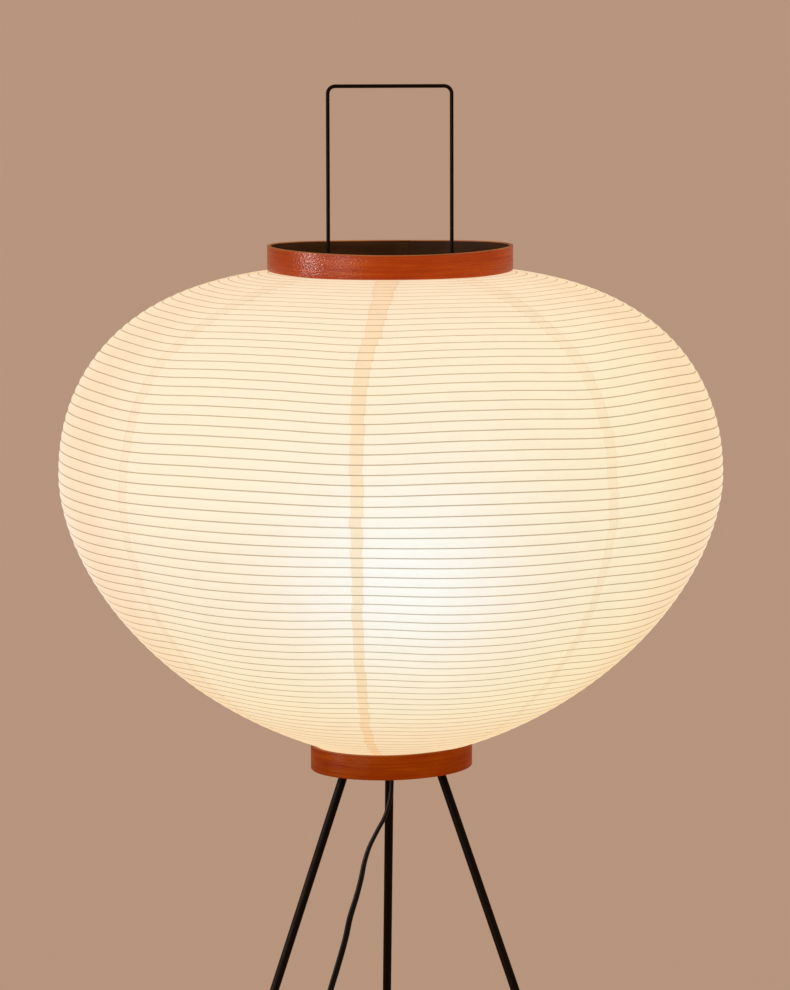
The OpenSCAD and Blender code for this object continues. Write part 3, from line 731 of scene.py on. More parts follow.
@dataclass
class Finishes:
    """Every finish of the lamp, built once.

    Attributes:
        bulb: Middle of the bulb.
        made: The finishes, by name.
    """

    bulb: Vector
    made: dict[str, bpy.types.Material] = field(default_factory=dict)

    def build(self) -> None:
        """Builds every finish."""
        plain = (
            Lacquer("black_lacquer", linear(16, 7, 2), linear(24, 12, 4), 0.40, specular=0.04),
            Lacquer("foot_rubber", linear(24, 23, 22), linear(34, 33, 32), 0.72, 1400, 0.00008),
            Lacquer("flex_sheath", linear(12, 8, 6), linear(20, 15, 12), 0.45, 500, 0.00003,
                    specular=0.12),
            Lacquer("black_moulding", linear(25, 23, 22), linear(34, 31, 30), 0.46, 1800, 0.0001),
            Lacquer("bakelite", linear(28, 20, 17), linear(40, 28, 23), 0.30, 900, 0.00003,
                    coat=0.4),
            Lacquer("porcelain", linear(222, 218, 206), linear(236, 232, 222), 0.30, 700, 0.00004),
            Lacquer("wire_insulation", linear(208, 202, 186), linear(222, 216, 200), 0.5),
            Lacquer("split_bamboo", linear(176, 142, 92), linear(206, 174, 122), 0.55, 800, 0.0001),
            BareMetal("zinc_plate", linear(208, 208, 204), linear(176, 176, 172)),
            BareMetal("satin_brass", linear(214, 178, 104), linear(178, 140, 74), 0.34),
            BentWood(WoodFace.OUTSIDE, linear(152, 46, 0), linear(174, 62, 0), linear(194, 84, 2),
                     0.20, 0.16, 0.0008),
            # Darker copy of the varnish for the lower hoop's outside: painted shade under the
            # lantern.
            BentWood(WoodFace.LOWER_OUTSIDE_IN_PAINTED_SHADE, linear(138, 43, 0), linear(160, 62, 0),
                     linear(186, 92, 2), 0.34, 0.03, 0.0004),
            BentWood(WoodFace.INSIDE, linear(36, 19, 6), linear(50, 28, 10), linear(64, 38, 15),
                     0.6, 0.05, 0.0001),
            BentWood(WoodFace.RIM, linear(136, 70, 22), linear(162, 92, 38), linear(186, 118, 58),
                     0.5, 0.15, 0.0001),
            OpalGlass(),
        )
        for finish in plain:
            self.made[finish.name] = finish.build()
        # Tones of the painted glow, warm, mild and hot: single paper, strong and faint overlaps,
        # and the ribs' painted shadow alone and in an overlap.
        sheer = (0.925, 0.685, 0.46, 1), (0.93, 0.797, 0.575, 1), (0.945, 0.968, 0.94, 1)
        double = (0.925, 0.60, 0.358, 1), (0.93, 0.69, 0.418, 1), (0.915, 0.81, 0.62, 1)
        faint = (0.92, 0.66, 0.43, 1), (0.915, 0.752, 0.525, 1), (0.915, 0.905, 0.85, 1)
        line = (0.505, 0.34, 0.195, 1), (0.525, 0.39, 0.24, 1), (0.525, 0.49, 0.39, 1)
        deep = (0.48, 0.30, 0.16, 1), (0.50, 0.35, 0.20, 1), (0.50, 0.43, 0.31, 1)
        paper_base, line_base = linear(128, 122, 108), linear(112, 98, 74)
        for name, tones, base, cloud, lift in (
            ("lit_paper", sheer, paper_base, 0.05, 0.0),
            ("lit_overlap", double, paper_base, 0.07, 0.0),
            ("lit_overlap_faint", faint, paper_base, 0.07, 0.0),
            ("rib_shadow", line, line_base, 0.16, 0.2),
            ("rib_shadow_in_overlap", deep, line_base, 0.16, 0.2),
        ):
            self.made[name] = GlowingPaper(name, *tones, base, self.bulb, cloud, lift).build()

    def __getitem__(self, name: str) -> bpy.types.Material:
        """Gives a finish by its name."""
        return self.made[name]


# ---------------------------------------------------------------- the studio


@dataclass
class Studio:
    """Camera, pale floor and soft light.

    Attributes:
        distance: From the lamp's axis to the camera, in metres.
        eye: Height of the camera.
        aside: How far to the right of the axis it stands.
        yaw: Turn of the camera round the lamp, in degrees.
        pitch: How far it looks down, in degrees.
        roll: How far it leans, in degrees.
        lens: Focal length, in millimetres.
        sensor: Longer side of the sensor, in millimetres.
        sight: How far the camera sees, in metres.
        floor_reach: Half the width of the floor.
        tone: The room's colour, as the camera sees it.
        floor_tone: The floor's colour.
        room_light: Strength of the room's even light.
        sun_width: Width of the two suns, in degrees.
        strip_length: Length of the two strips, from top to bottom.
        lamp_tone: Colour of the suns and strips.
        aim: Height on the lamp that they point at.
    """

    distance: float = 3.6
    eye: float = 1.293
    aside: float = 0.0034
    yaw: float = 2.0
    pitch: float = 6.51
    roll: float = -0.15
    lens: float = 164.5
    sensor: float = 36.0
    sight: float = 2000.0
    floor_reach: float = 650.0
    tone: tuple[float, ...] = linear(180, 147, 126)
    floor_tone: tuple[float, ...] = linear(188, 156, 135)
    room_light: float = 0.78
    sun_width: float = 60.0
    strip_length: float = 2.0
    lamp_tone: Point = (1.0, 0.95, 0.9)
    aim: float = 0.85

    def place_camera(self) -> None:
        """Stands the camera where the photograph was taken from."""
        data = bpy.data.cameras.new("photo_camera")
        data.lens = self.lens
        data.sensor_width = self.sensor
        data.clip_end = self.sight
        camera = in_scene("photo_camera", data)
        around = Matrix.Rotation(math.radians(-self.yaw), 4, "Z")
        axis = Vector((0, LAMP_AXIS.y, 0))
        camera.location = axis + around @ Vector((self.aside, -self.distance, self.eye))
        turn = around @ Matrix.Rotation(math.radians(90 - self.pitch), 4, "X")
        camera.rotation_euler = (turn @ Matrix.Rotation(math.radians(self.roll), 4, "Z")).to_euler()
        bpy.context.scene.camera = camera
        bpy.context.scene.view_settings.view_transform = "Standard"

    def lay_floor(self) -> None:
        """Lays a pale floor that runs past the picture."""
        s = ShaderTree("pale_floor")
        s.put(Base_Color=self.floor_tone, Roughness=1.0, Specular_IOR_Level=0.0)
        below = s.add("ShaderNodeNewGeometry").outputs["Backfacing"]
        s.put(Alpha=s.minus(1, below))
        mesh = bpy.data.meshes.new("floor")
        reach = self.floor_reach
        mesh.from_pydata(
            [(-reach, -reach, 0), (reach, -reach, 0), (reach, reach, 0), (-reach, reach, 0)],
            [], [(0, 1, 2, 3)])
        mesh.materials.append(s.material)
        in_scene("floor", mesh)

    def light(self) -> None:
        """Fills the room with soft light, two broad suns and two strips that only gleam."""
        world = bpy.data.worlds.new("room")
        bpy.context.scene.world = world
        world.use_nodes = True
        w = NodeWriter(world.node_tree)
        w.tree.nodes.clear()
        room = w.out("ShaderNodeBackground", {
            "Color": linear(255, 250, 244), "Strength": self.room_light})
        seen = w.out("ShaderNodeBackground", {"Color": self.tone, "Strength": 1.0})
        path = w.add("ShaderNodeLightPath").outputs
        sharp = w.math("MAXIMUM", path["Is Camera Ray"], w.math(
            "MAXIMUM", path["Is Glossy Ray"], path["Is Transmission Ray"]))
        mixed = w.out("ShaderNodeMixShader", {0: sharp, 1: room, 2: seen})
        w.add("ShaderNodeOutputWorld", {"Surface": mixed})
        for name, place, strength in (
            ("broad_sun", (-1.9, -2.6, 3.6), 0.55), ("side_sun", (2.6, -1.0, 2.6), 0.3)):
            data = bpy.data.lights.new(name, "SUN")
            data.energy = strength
            data.angle = math.radians(self.sun_width)
            self.hang(data, place)
        for name, place, width, power in (
            ("left_strip", (-2.6, -2.4, 1.3), 0.25, 66.0),
            ("far_strip", (-3.2, -0.5, 1.3), 0.35, 100.0),
        ):
            data = bpy.data.lights.new(name, "AREA")
            data.shape = "RECTANGLE"
            data.size = width
            data.size_y = self.strip_length
            data.energy = power
            self.hang(data, place).visible_diffuse = False

    def hang(self, data: bpy.types.Light, place: Point) -> bpy.types.Object:
        """Hangs a lamp and turns it to the lantern.

        Args:
            data: The lamp.
            place: Where it hangs.

        Returns:
            Its object.
        """
        data.color = self.lamp_tone
        lamp = in_scene(data.name, data)
        lamp.location = place
        away = Vector((0, LAMP_AXIS.y, self.aim)) - lamp.location
        lamp.rotation_euler = away.to_track_quat("-Z", "Y").to_euler()
        return lamp


# ---------------------------------------------------------------- the flex


def smooth_route(knots: Sequence[Vector], pieces: int) -> list[Vector]:
    """Runs a smooth curve through the knots.

    Args:
        knots: The points to pass through.
        pieces: Steps between two knots.

    Returns:
        The points of the curve.
    """
    points = []
    last = len(knots) - 1
    for i in range(last):
        a, b, c, d = knots[max(i - 1, 0)], knots[i], knots[i + 1], knots[min(i + 2, last)]
        for k in range(pieces):
            t = k / pieces
            points.append(0.5 * (2 * b + (c - a) * t + (2 * a - 5 * b + 4 * c - d) * t * t
                                 + (3 * b - a - 3 * c + d) * t ** 3))
    points.append(knots[-1].copy())
    return points


@dataclass
class TwinFlex:
    """A black flat twin flex: two cores side by side in one sheath.

    Attributes:
        sheath: The sheath's material.
        width: Width over both cores.
        thickness: Thickness over one.
        lobe_steps: Steps round the outer side of a core.
    """

    sheath: bpy.types.Material
    width: float = 5.0 * MM
    thickness: float = 3.3 * MM
    lobe_steps: int = 8

    def section(self) -> list[tuple[float, float]]:
        """Works out the outline of the two lobes.

        Returns:
            Its points, wide along the first number and thin along the second.
        """
        radius = self.thickness / 2
        middle = self.width / 2 - radius
        end = math.acos(-middle / radius)
        arc = [-end + 2 * end * i / self.lobe_steps for i in range(self.lobe_steps)]
        right = [(middle + radius * math.cos(a), radius * math.sin(a)) for a in arc]
        return right + [(-x, -y) for x, y in right]

    def swept(self, name: str, route: Sequence[Vector], thin: Vector,
              twist: Sequence[tuple[float, float]]) -> bpy.types.Mesh:
        """Sweeps the section along a route.

        Args:
            name: The mesh's name.
            route: The points of the centre line.
            thin: The way its thin side faces at the start.
            twist: Length along the flex and turn about its own line, in pairs.

        Returns:
            A closed tube with its own map.
        """
        outline = self.section()
        count = len(outline)
        build = bmesh.new()
        chart = build.loops.layers.uv.new("run")
        rings, runs = [], []
        run = 0.0
        for i, at in enumerate(route):
            ahead = (route[min(i + 1, len(route) - 1)] - route[max(i - 1, 0)]).normalized()
            thin = (thin - thin.dot(ahead) * ahead).normalized()
            if i:
                run += (at - route[i - 1]).length
            turned = Matrix.Rotation(self.turn_at(run, twist), 3, ahead) @ thin
            wide = turned.cross(ahead)
            rings.append([build.verts.new(at + x * wide + y * turned) for x, y in outline])
            runs.append(run)

        def place(row: int, column: int) -> tuple[float, float]:
            """Gives the run along the flex and the share round it."""
            return runs[row], column / count

        skin(build, rings, ((0, 0), (0, 1), (1, 1), (1, 0)), chart, place)
        build.faces.new(list(reversed(rings[0])))
        build.faces.new(rings[-1])
        bmesh.ops.recalc_face_normals(build, faces=build.faces)
        mesh = kept_mesh(name, build)
        mesh.materials.append(self.sheath)
        return mesh

    @staticmethod
    def turn_at(run: float, twist: Sequence[tuple[float, float]]) -> float:
        """Works out the twist at a length along the flex.

        Args:
            run: The length from its start, in metres.
            twist: Pairs of length and angle.

        Returns:
            The angle there, eased between the pairs.
        """
        angle = twist[0][1]
        for (start, low), (end, high) in zip(twist, twist[1:]):
            if run > start:
                angle = low + (high - low) * ease((run - start) / (end - start))
        return angle


@dataclass
class Cordset:
    """The flex from the lamp through its foot switch to the plug.

    Attributes:
        finishes: Every finish of the lamp.
        lead: Route from the lamp to the switch, in millimetres from the lamp's axis.
        tail: Route from the switch to the coil.
        end: Route from the coil to the plug.
        coil_centre: Middle of the coiled spare flex.
        coil_radii: Radius of each of its turns.
        coil_layers: Height of its lower and upper layer.
        jog: Share of a turn in which one radius goes over to the next.
        knots_per_turn: Points in one turn.
        climb: How long before the end of a turn the coil starts up to its upper
            layer, and over how long, both in jogs.
        exit_at: Where the lead leaves the lamp.
        lead_twist: Length along the lead and turn about its own line, in pairs.
        flat: The same for a flex that isn't turned.
        lead_steps: Steps between two points of the lead.
        coil_steps: Steps between two points of the rest.
        switch_nodes: The frame's nodes of the foot switch.
    """

    finishes: Finishes
    lead: tuple[Point, ...] = (
        (0, 0, 675), (0, 0, 660), (0, 0, 645), (-2, 0, 632), (-6, -1, 620), (-12, -2, 609),
        (-18, -3, 597), (-22, -4, 585), (-25, -5, 571), (-29, -6, 556), (-34, -7, 540),
        (-38, -8, 522), (-44, -9, 501), (-51, -10, 478), (-58, -10, 452), (-64, -10, 422),
        (-68, -10, 388), (-70, -10, 350), (-71, -10, 308), (-71, -10, 264), (-71, -10, 220),
        (-71, -10, 178), (-71, -10, 138), (-71, -11, 100), (-71, -14, 68), (-71, -21, 40),
        (-70, -33, 18), (-69, -49, 5), (-68, -66, 2), (-68, -82, 4), (-68, -98, 7.4))
    tail: tuple[Point, ...] = (
        (-68, -202, 7.4), (-68, -214, 4), (-67, -226, 2), (-63, -238, 2), (-56, -248, 2),
        (-46, -255, 2), (-34, -260, 2), (-22, -261, 2), (-10, -259, 2), (2, -254, 2),
        (12, -245, 2), (18, -234, 2), (21, -222, 2), (22, -206, 2), (22, -188, 2),
        (22, -168, 2), (22, -148, 2), (22, -128, 2), (22, -108, 2), (22, -90, 2.3))
    end: tuple[Point, ...] = (
        (22, -60, 6.5), (22, -46, 3), (22, -31, 2.2), (22, -15, 4.5), (22, 0, 9))
    coil_centre: tuple[float, float] = (-14, -72)
    coil_radii: tuple[float, ...] = (36, 31, 26, 21, 21, 26, 31, 36)
    coil_layers: tuple[float, float] = (2.5, 7.4)
    jog: float = 0.2
    knots_per_turn: int = 24
    climb: tuple[float, float] = (2.0, 1.6)
    exit_at: Point = (0, 0, 652)
    lead_twist: Knots = ((0.03, 0.0), (0.20, math.radians(90)))
    flat: Knots = ((0, 0.0), (9, 0.0))
    lead_steps: int = 4
    coil_steps: int = 3
    switch_nodes: tuple[str, ...] = ("switch_base", "switch_shell", "switch_button",
                                     "switch_screws", "switch_sleeves")

    def placed(self, point: Sequence[float]) -> Vector:
        """Turns a route point in millimetres from the lamp's axis into metres in the frame."""
        return Vector((point[0] * MM, LAMP_AXIS.y + point[1] * MM, point[2] * MM))

    def coil(self) -> list[Vector]:
        """Winds the spare flex: a lower layer inwards, then an upper one outwards.

        Returns:
            The points of its turns.
        """
        knots = []
        turns = len(self.coil_radii) - 1
        lower = len(self.coil_radii) // 2
        for i in range(turns * self.knots_per_turn + 1):
            turn, share = divmod(i / self.knots_per_turn, 1)
            turn = int(turn)
            here = self.coil_radii[turn]
            after = self.coil_radii[min(turn + 1, turns)]
            radius = here + (after - here) * ease((share - 1 + self.jog) / self.jog)
            rise = 0.0 if turn < lower - 1 else 1.0
            if turn == lower - 1:
                early, over = self.climb
                rise = ease((share - 1 + early * self.jog) / (over * self.jog))
            low, high = self.coil_layers
            knots.append(self.placed((
                self.coil_centre[0] + radius * math.cos(TURN * share),
                self.coil_centre[1] + radius * math.sin(TURN * share),
                low + (high - low) * rise)))
        return knots

    def build(self) -> None:
        flex = TwinFlex(self.finishes["flex_sheath"])
        lead = smooth_route([self.placed(p) for p in self.lead], self.lead_steps)
        self.lay("flex_to_switch", flex, lead, Vector((1, 0, 0)), self.lead_twist,
                 self.exit_at, self.switch_nodes, ("cord_lead",))
        run_out = [self.placed(p) for p in self.tail] + self.coil()
        run_out += [self.placed(p) for p in self.end]
        self.lay("flex_to_plug", flex, smooth_route(run_out, self.coil_steps),
                 Vector((0, 0, 1)), self.flat, self.tail[0],
                 ("plug_body", "plug_pins", "cord_tie"), ("cord_tail", "cord_coil", "cord_end"))

    def lay(self, name: str, flex: TwinFlex, route: list[Vector], thin: Vector,
            twist: Sequence[tuple[float, float]], exit_at: Point,
            carries: Sequence[str], nodes: Sequence[str]) -> None:
        """Args:
            name: The piece's name.
            flex: The flex that it is cut from.
            route: The points of its centre line.
            thin: The way its thin side faces at the start.
            twist: Pairs of length and turn about its own line.
            exit_at: Where it comes out, in millimetres from the lamp's axis; not used.
            carries: The frame's nodes that lie on it; not used.
            nodes: The frame's nodes that it stands for.
        """
        made = piece(name, flex.swept(name, route, thin, twist), Body.STAND, "cord_sheath", *nodes)
        tuple(self.placed(exit_at))
        [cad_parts[n] for n in carries]


# ---------------------------------------------------------------- the lantern


@dataclass
class Lantern:
    """The paper globe on its bamboo spiral, with the strips' overlapped seams.

    Attributes:
        finishes: Every finish of the lamp.
        wide_r: Radius of the paper at its widest.
        upper_r: Radius of its upper neck, inside the upper hoop.
        lower_r: Radius of its lower neck, inside the lower hoop.
        upper_z: Height of the upper neck.
        lower_z: Height of the lower neck.
        equator_z: Height of its widest part.
        powers: Powers of the rounded outline: upper radius and height, then lower.
        tuck: Length of paper turned in behind each hoop.
        step: Pitch of the bamboo, along the paper.
        phase: Start of the bamboo's turns, as a share of one.
        crowding: Share by which the ribs lie closer near the top.
        crowded_to: Length down the paper over which they do.
        paper: Thickness of the paper.
        rib: Thickness and width of the bamboo.
        rib_line: Share of a band that the rib's shadow takes.
        rib_points: Points in one turn of the bamboo.
        rib_turns: Turns of the bamboo.
        swell: How far the paper stands out between two ribs.
        columns: Faces round the paper.
        rows: Faces down one band.
        bands: Bands between ribs, those turned in behind the hoops among them.
        bands_above: Bands above the start of the bamboo's turns.
        seams: Number of overlapped seams.
        first_seam: Turn of the first seam from the front.
        seam_twists: How strongly and which way each seam leans.
        seam_columns: Faces across a seam.
        keep: Share of the lantern's height that is left when it is folded.
        seam_pull: Length down the visible paper and how far a seam draws the ribs
            down there, in millimetres.
        seam_sharpness: Power that keeps the pull close by the seams.
        pull_range: Range of the pulls, from lowest to highest, in millimetres.
        paper_run: Length of the whole outline, in millimetres.
        seam_width: Width of a seam, well away from the upper neck.
        seam_flare: Width that is added to it at its upper end.
        flare_reach: Length down the paper over which that falls to about a third.
        seam_jitter: How far a seam steps aside at a rib, at most.
        seam_lean: Turn of a seam with a twist of 1, if lean_line fell from 1 to 0.
        lean_line: Share of the way down the paper, and share of that turn there.
        least_radius: Radius below which a seam takes no wider angle.
        overlap_paper: Thickness of a seam's upper sheet.
        overlap_proud: How far it stands out from the paper.
        merge_within: Distance under which two points are one.
        stretch: How far a neck reaches behind its hoop, before it is turned in.
        hoop_wall: Thickness of the hoops.
        hoop_gap: Room between a hoop and the paper.
        equator_rise: Height of the widest part above the lower hoop's lower edge.
        half_steps: Steps in each half of the outline.
        nudge: Share of a row that keeps rounding from dropping it.
        SHEET: The inputs that both trees of paper take.
    """

    finishes: Finishes
    wide_r: float
    upper_r: float
    lower_r: float
    upper_z: float
    lower_z: float
    equator_z: float
    powers: tuple[float, float, float, float] = (3.02, 2.14, 1.68, 1.79)
    tuck: float = 7 * MM
    step: float = 8.27 * MM
    phase: float = -0.546
    crowding: float = 0.05
    crowded_to: float = 0.247
    paper: float = 0.5 * MM
    rib: tuple[float, float] = (1.1 * MM, 1.3 * MM)
    rib_line: float = 0.115
    rib_points: int = 60
    rib_turns: float = 69.0
    swell: float = 0.55 * MM
    columns: int = 120
    rows: int = 5
    bands: int = 75
    bands_above: float = 2.5
    seams: int = 8
    first_seam: float = math.radians(-7.5)
    seam_twists: tuple[float, ...] = (1.0, -1.3, 0.8, -0.6, 1.2, -1.0, 0.6, 2.0)
    seam_columns: int = 4
    keep: float = 0.122
    seam_pull: Knots = (
        (-7, 0), (0, 0), (30, 1.0), (75, 2.2), (160, 3.0), (238, 1.8), (279, 0), (320, -1.8),
        (360, -3.4), (400, -4.2), (443, -3.4), (485, -2.6), (540, -1.3), (573, 0), (580, 0))
    seam_sharpness: float = 1.5
    pull_range: float = 20.0
    paper_run: float = 587.2
    seam_width: float = 7.2 * MM
    seam_flare: float = 12.5 * MM
    flare_reach: float = 0.16
    seam_jitter: float = 1.0 * MM
    seam_lean: float = math.radians(10)
    lean_line: Knots = (
        (0, 0.88), (0.06, 0.86), (0.19, 0.69), (0.265, 0.54), (0.34, 0.5), (0.45, 0.5),
        (0.64, 0.435), (0.77, 0.33), (0.89, 0.16), (1, 0.02))
    least_radius: float = 20 * MM
    overlap_paper: float = 0.13 * MM
    overlap_proud: float = 0.15 * MM
    merge_within: float = 0.02 * MM
    stretch: ClassVar[float] = 1.4 * MM
    hoop_wall: ClassVar[float] = 2.8 * MM
    hoop_gap: ClassVar[float] = 0.3 * MM
    equator_rise: ClassVar[float] = 0.236
    half_steps: ClassVar[int] = 120
    nudge: ClassVar[float] = 0.25
    SHEET: ClassVar[dict[str, str]] = {
        "Rows in a band": "Int", "Bands": "Int", "Rib line share": "Float",
        "Swell": "Float", "Paper": "Material", "Rib shadow": "Material"}

    @classmethod
    def from_frame(cls, finishes: Finishes) -> "Lantern":
        """Takes the lantern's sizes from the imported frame.

        Args:
            finishes: Every finish of the lamp.

        Returns:
            The lantern, ready to build.
        """
        low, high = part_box("shade_paper")
        upper_low, upper_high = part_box("top_hoop")
        lower_low, lower_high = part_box("bottom_hoop")
        inside = cls.hoop_wall + cls.hoop_gap
        return cls(
            finishes,
            wide_r=(high.x - low.x) / 2,
            upper_r=(upper_high.x - upper_low.x) / 2 - inside,
            lower_r=(lower_high.x - lower_low.x) / 2 - inside,
            upper_z=upper_low.z + cls.stretch,
            lower_z=lower_high.z - cls.stretch,
            equator_z=lower_low.z + cls.equator_rise,
        )

    @property
    def sizes(self) -> dict[str, float]:
        """The inputs that every tree of the lantern takes."""
        upper_rp, upper_zp, lower_rp, lower_zp = self.powers
        return {
            "Widest radius": self.wide_r, "Upper neck radius": self.upper_r,
            "Lower neck radius": self.lower_r, "Upper height": self.upper_z,
            "Lower height": self.lower_z, "Equator height": self.equator_z,
            "Upper radius power": upper_rp, "Upper height power": upper_zp,
            "Lower radius power": lower_rp, "Lower height power": lower_zp,
            "Tuck": self.tuck, "Rib pitch": self.step, "Rib phase": self.phase,
            "Upper crowding": self.crowding, "Axis": LAMP_AXIS.y,
        }

    def outline_tree(self) -> bpy.types.NodeTree:
        """Writes the tree of the outline: two superellipse quarters and a tuck at each end.

        Returns:
            The tree.
        """
        t = GeometryTree("Lantern outline", {name: "Float" for name in self.sizes},
                         {"Outline": "Geometry", "Run": "Float"})
        size = t.given
        half = self.half_steps
        last = 2 * half + 2
        index = t.out("GeometryNodeInputIndex")
        inner = t.held(t.minus(index, 1), 0, 2 * half)
        place = t.minus(1, t.over(inner, half))
        share = t.math("ABSOLUTE", place)
        is_upper = t.math("GREATER_THAN", place, 0)
        radius, height = [], []
        for side in ("Upper", "Lower"):
            r_power, z_power = size[side + " radius power"], size[side + " height power"]
            neck = t.over(size[side + " neck radius"], size["Widest radius"])
            end = t.math("ARCCOSINE", t.math("POWER", neck, t.over(r_power, 2)))
            angle = t.times(end, share)
            radius.append(t.times(size["Widest radius"], t.math(
                "POWER", t.math("COSINE", angle), t.over(2, r_power))))
            rise = t.math("POWER", t.over(t.math("SINE", angle), t.math("SINE", end)),
                          t.over(2, z_power))
            reach = t.minus(size[side + " height"], size["Equator height"])
            height.append(t.math("MULTIPLY_ADD", rise, reach, size["Equator height"]))
        pick = [t.out("GeometryNodeSwitch", {"Switch": is_upper, "False": low, "True": high},
                      input_type="FLOAT") for high, low in (radius, height)]
        ends = t.minus(t.math("LESS_THAN", index, 0.5),
                      t.math("GREATER_THAN", index, last - 0.5))
        z = t.math("MULTIPLY_ADD", ends, size["Tuck"], pick[1])
        line = t.moved(t.out("GeometryNodeMeshLine", {"Count": last + 1}), t.join(pick[0], 0.0, z))
        curve = t.out("GeometryNodeMeshToCurve", {"Mesh": line})
        t.give("Outline", curve)
        t.give("Run", t.out("GeometryNodeCurveLength", {0: curve}))
        return t.tree

    def surface_tree(self) -> bpy.types.NodeTree:
        """Writes the tree that finds a point by its band, its angle and an offset.

        Returns:
            The tree.
        """
        t = GeometryTree(
            "Point on the lantern",
            {"Outline": "Geometry", "Run": "Float", "Tuck": "Float", "Rib pitch": "Float",
             "Rib phase": "Float", "Upper crowding": "Float", "Axis": "Float",
             "Band": "Float", "Angle": "Float", "Offset": "Float"},
            {"Position": "Vector", "Length down": "Float", "Radius": "Float"})
        given = t.given
        turned = t.plus(t.over(given["Angle"], TURN), given["Rib phase"])
        down = t.math("MULTIPLY_ADD", t.plus(given["Band"], turned),
                      given["Rib pitch"], given["Tuck"])
        above = t.math("MAXIMUM", t.minus(self.crowded_to, down), 0)
        down = t.math("MULTIPLY_ADD", above, given["Upper crowding"], down)
        down = t.held(down, 0, given["Run"])
        tuck = self.tuck / MM
        knots = [((s + tuck) / self.paper_run, 0.5 + pull / self.pull_range)
                 for s, pull in self.seam_pull]
        pull = t.minus(t.curve(t.over(down, given["Run"]), knots), 0.5)
        from_seam = t.minus(given["Angle"], self.first_seam)
        wave = t.math("COSINE", t.times(from_seam, self.seams))
        near = t.math("POWER", t.math("MULTIPLY_ADD", wave, 0.5, 0.5), self.seam_sharpness)
        shift = t.times(t.times(pull, self.pull_range * MM), near)
        down = t.held(t.plus(down, shift), 0, given["Run"])
        edge = t.math("MINIMUM", t.minus(down, given["Tuck"]),
                      t.minus(t.minus(given["Run"], given["Tuck"]), down))
        ease_in = t.held(t.over(edge, given["Rib pitch"]), 0, 1)
        sample = t.add("GeometryNodeSampleCurve", {"Curves": given["Outline"], "Length": down},
                       mode="LENGTH")
        r, _, z = t.split(sample.outputs["Position"])
        slope_r, _, slope_z = t.split(sample.outputs["Tangent"])
        out = t.times(given["Offset"], ease_in)
        r = t.minus(r, t.times(slope_z, out))
        z = t.plus(z, t.times(slope_r, out))
        x = t.times(r, t.math("SINE", given["Angle"]))
        y = t.minus(given["Axis"], t.times(r, t.math("COSINE", given["Angle"])))
        t.give("Position", t.join(x, y, z))
        t.give("Length down", down)
        t.give("Radius", r)
        return t.tree

    def started(self, name: str, extra: dict[str, str]) -> tuple[GeometryTree, bpy.types.Node]:
        """Starts a tree with the lantern's inputs and its outline.

        Args:
            name: The tree's name.
            extra: Kind of each further input, by name.

        Returns:
            The tree and the node that gives the outline.
        """
        kinds = {label: "Float" for label in self.sizes} | extra
        t = GeometryTree(name, kinds, {"Mesh": "Geometry"})
        outline = t.use(self.outline, {label: t.given[label] for label in self.sizes})
        return t, outline

    def found(self, t: GeometryTree, outline: bpy.types.Node, band: Value, angle: Value,
              offset: Value) -> bpy.types.Node:
        """Adds the node that finds a point of the lantern.

        Args:
            t: The tree.
            outline: The node that gives the outline.
            band: Turn of the bamboo, counted from the top.
            angle: Angle from the front.
            offset: Distance out from the paper.

        Returns:
            The node.
        """
        shared = {label: t.given[label] for label in (
            "Tuck", "Rib pitch", "Rib phase", "Upper crowding", "Axis")}
        return t.use(self.surface, shared | {
            "Outline": outline.outputs["Outline"], "Run": outline.outputs["Run"],
            "Band": band, "Angle": angle, "Offset": offset})

    def banded(self, t: GeometryTree, columns: Value) -> tuple[Socket, ...]:
        """Adds a flat grid whose rows keep close by the ribs.

        Args:
            t: The tree.
            columns: Number of faces across.

        Returns:
            The grid, the share across it, the row, the band and the arch over the band.
        """
        rows = t.given["Rows in a band"]
        down = t.times(t.given["Bands"], rows)
        grid = t.add("GeometryNodeMeshGrid", {
            "Size X": 1.0, "Size Y": 1.0, "Vertices X": t.plus(columns, 1),
            "Vertices Y": t.plus(down, 1)})
        across, along, _ = t.split(grid.outputs["UV Map"])
        row = t.math("ROUND", t.times(along, down))
        band = t.math("FLOOR", t.over(t.plus(row, self.nudge), rows))
        left = t.minus(row, t.times(band, rows))
        line = t.given["Rib line share"]
        beyond = t.over(t.math("MAXIMUM", t.minus(left, 1), 0), t.minus(rows, 1))
        share = t.plus(t.times(t.math("MINIMUM", left, 1), line),
                       t.times(beyond, t.minus(1, line)))
        arch = t.math("SINE", t.times(beyond, math.pi))
        whole = t.plus(band, t.minus(share, self.bands_above))
        return grid.outputs["Mesh"], across, row, whole, arch

    def finished(self, t: GeometryTree, mesh: Socket, position: Socket) -> None:
        """Moves the grid into place, marks the rib lines and closes the tree.

        Args:
            t: The tree.
            mesh: The flat grid.
            position: Where its points go.
        """
        rows = t.given["Rows in a band"]
        face = t.math("MODULO", t.out("GeometryNodeInputIndex"),
                      t.times(t.given["Bands"], rows))
        is_line = t.math("LESS_THAN", t.math("MODULO", t.plus(face, self.nudge), rows), 1)
        mesh = t.dress(mesh, t.given["Paper"])
        mesh = t.dress(mesh, t.given["Rib shadow"], is_line)
        mesh = t.out("GeometryNodeMergeByDistance", {
            "Geometry": t.moved(mesh, position), "Distance": self.merge_within})
        mesh = t.real(t.out("GeometryNodeFlipFaces", {"Mesh": mesh}))
        t.give("Mesh", t.out("GeometryNodeSetShadeSmooth", {"Geometry": mesh}))

    def paper_tree(self) -> bpy.types.NodeTree:
        """Writes the tree of the ribbed paper.

        Returns:
            The tree.
        """
        t, outline = self.started("Ribbed paper", self.SHEET | {"Columns": "Int"})
        mesh, across, _, band, arch = self.banded(t, t.given["Columns"])
        angle = t.times(t.minus(across, 0.5), TURN)
        point = self.found(t, outline, band, angle, t.times(arch, t.given["Swell"]))
        self.finished(t, mesh, point.outputs["Position"])
        return t.tree

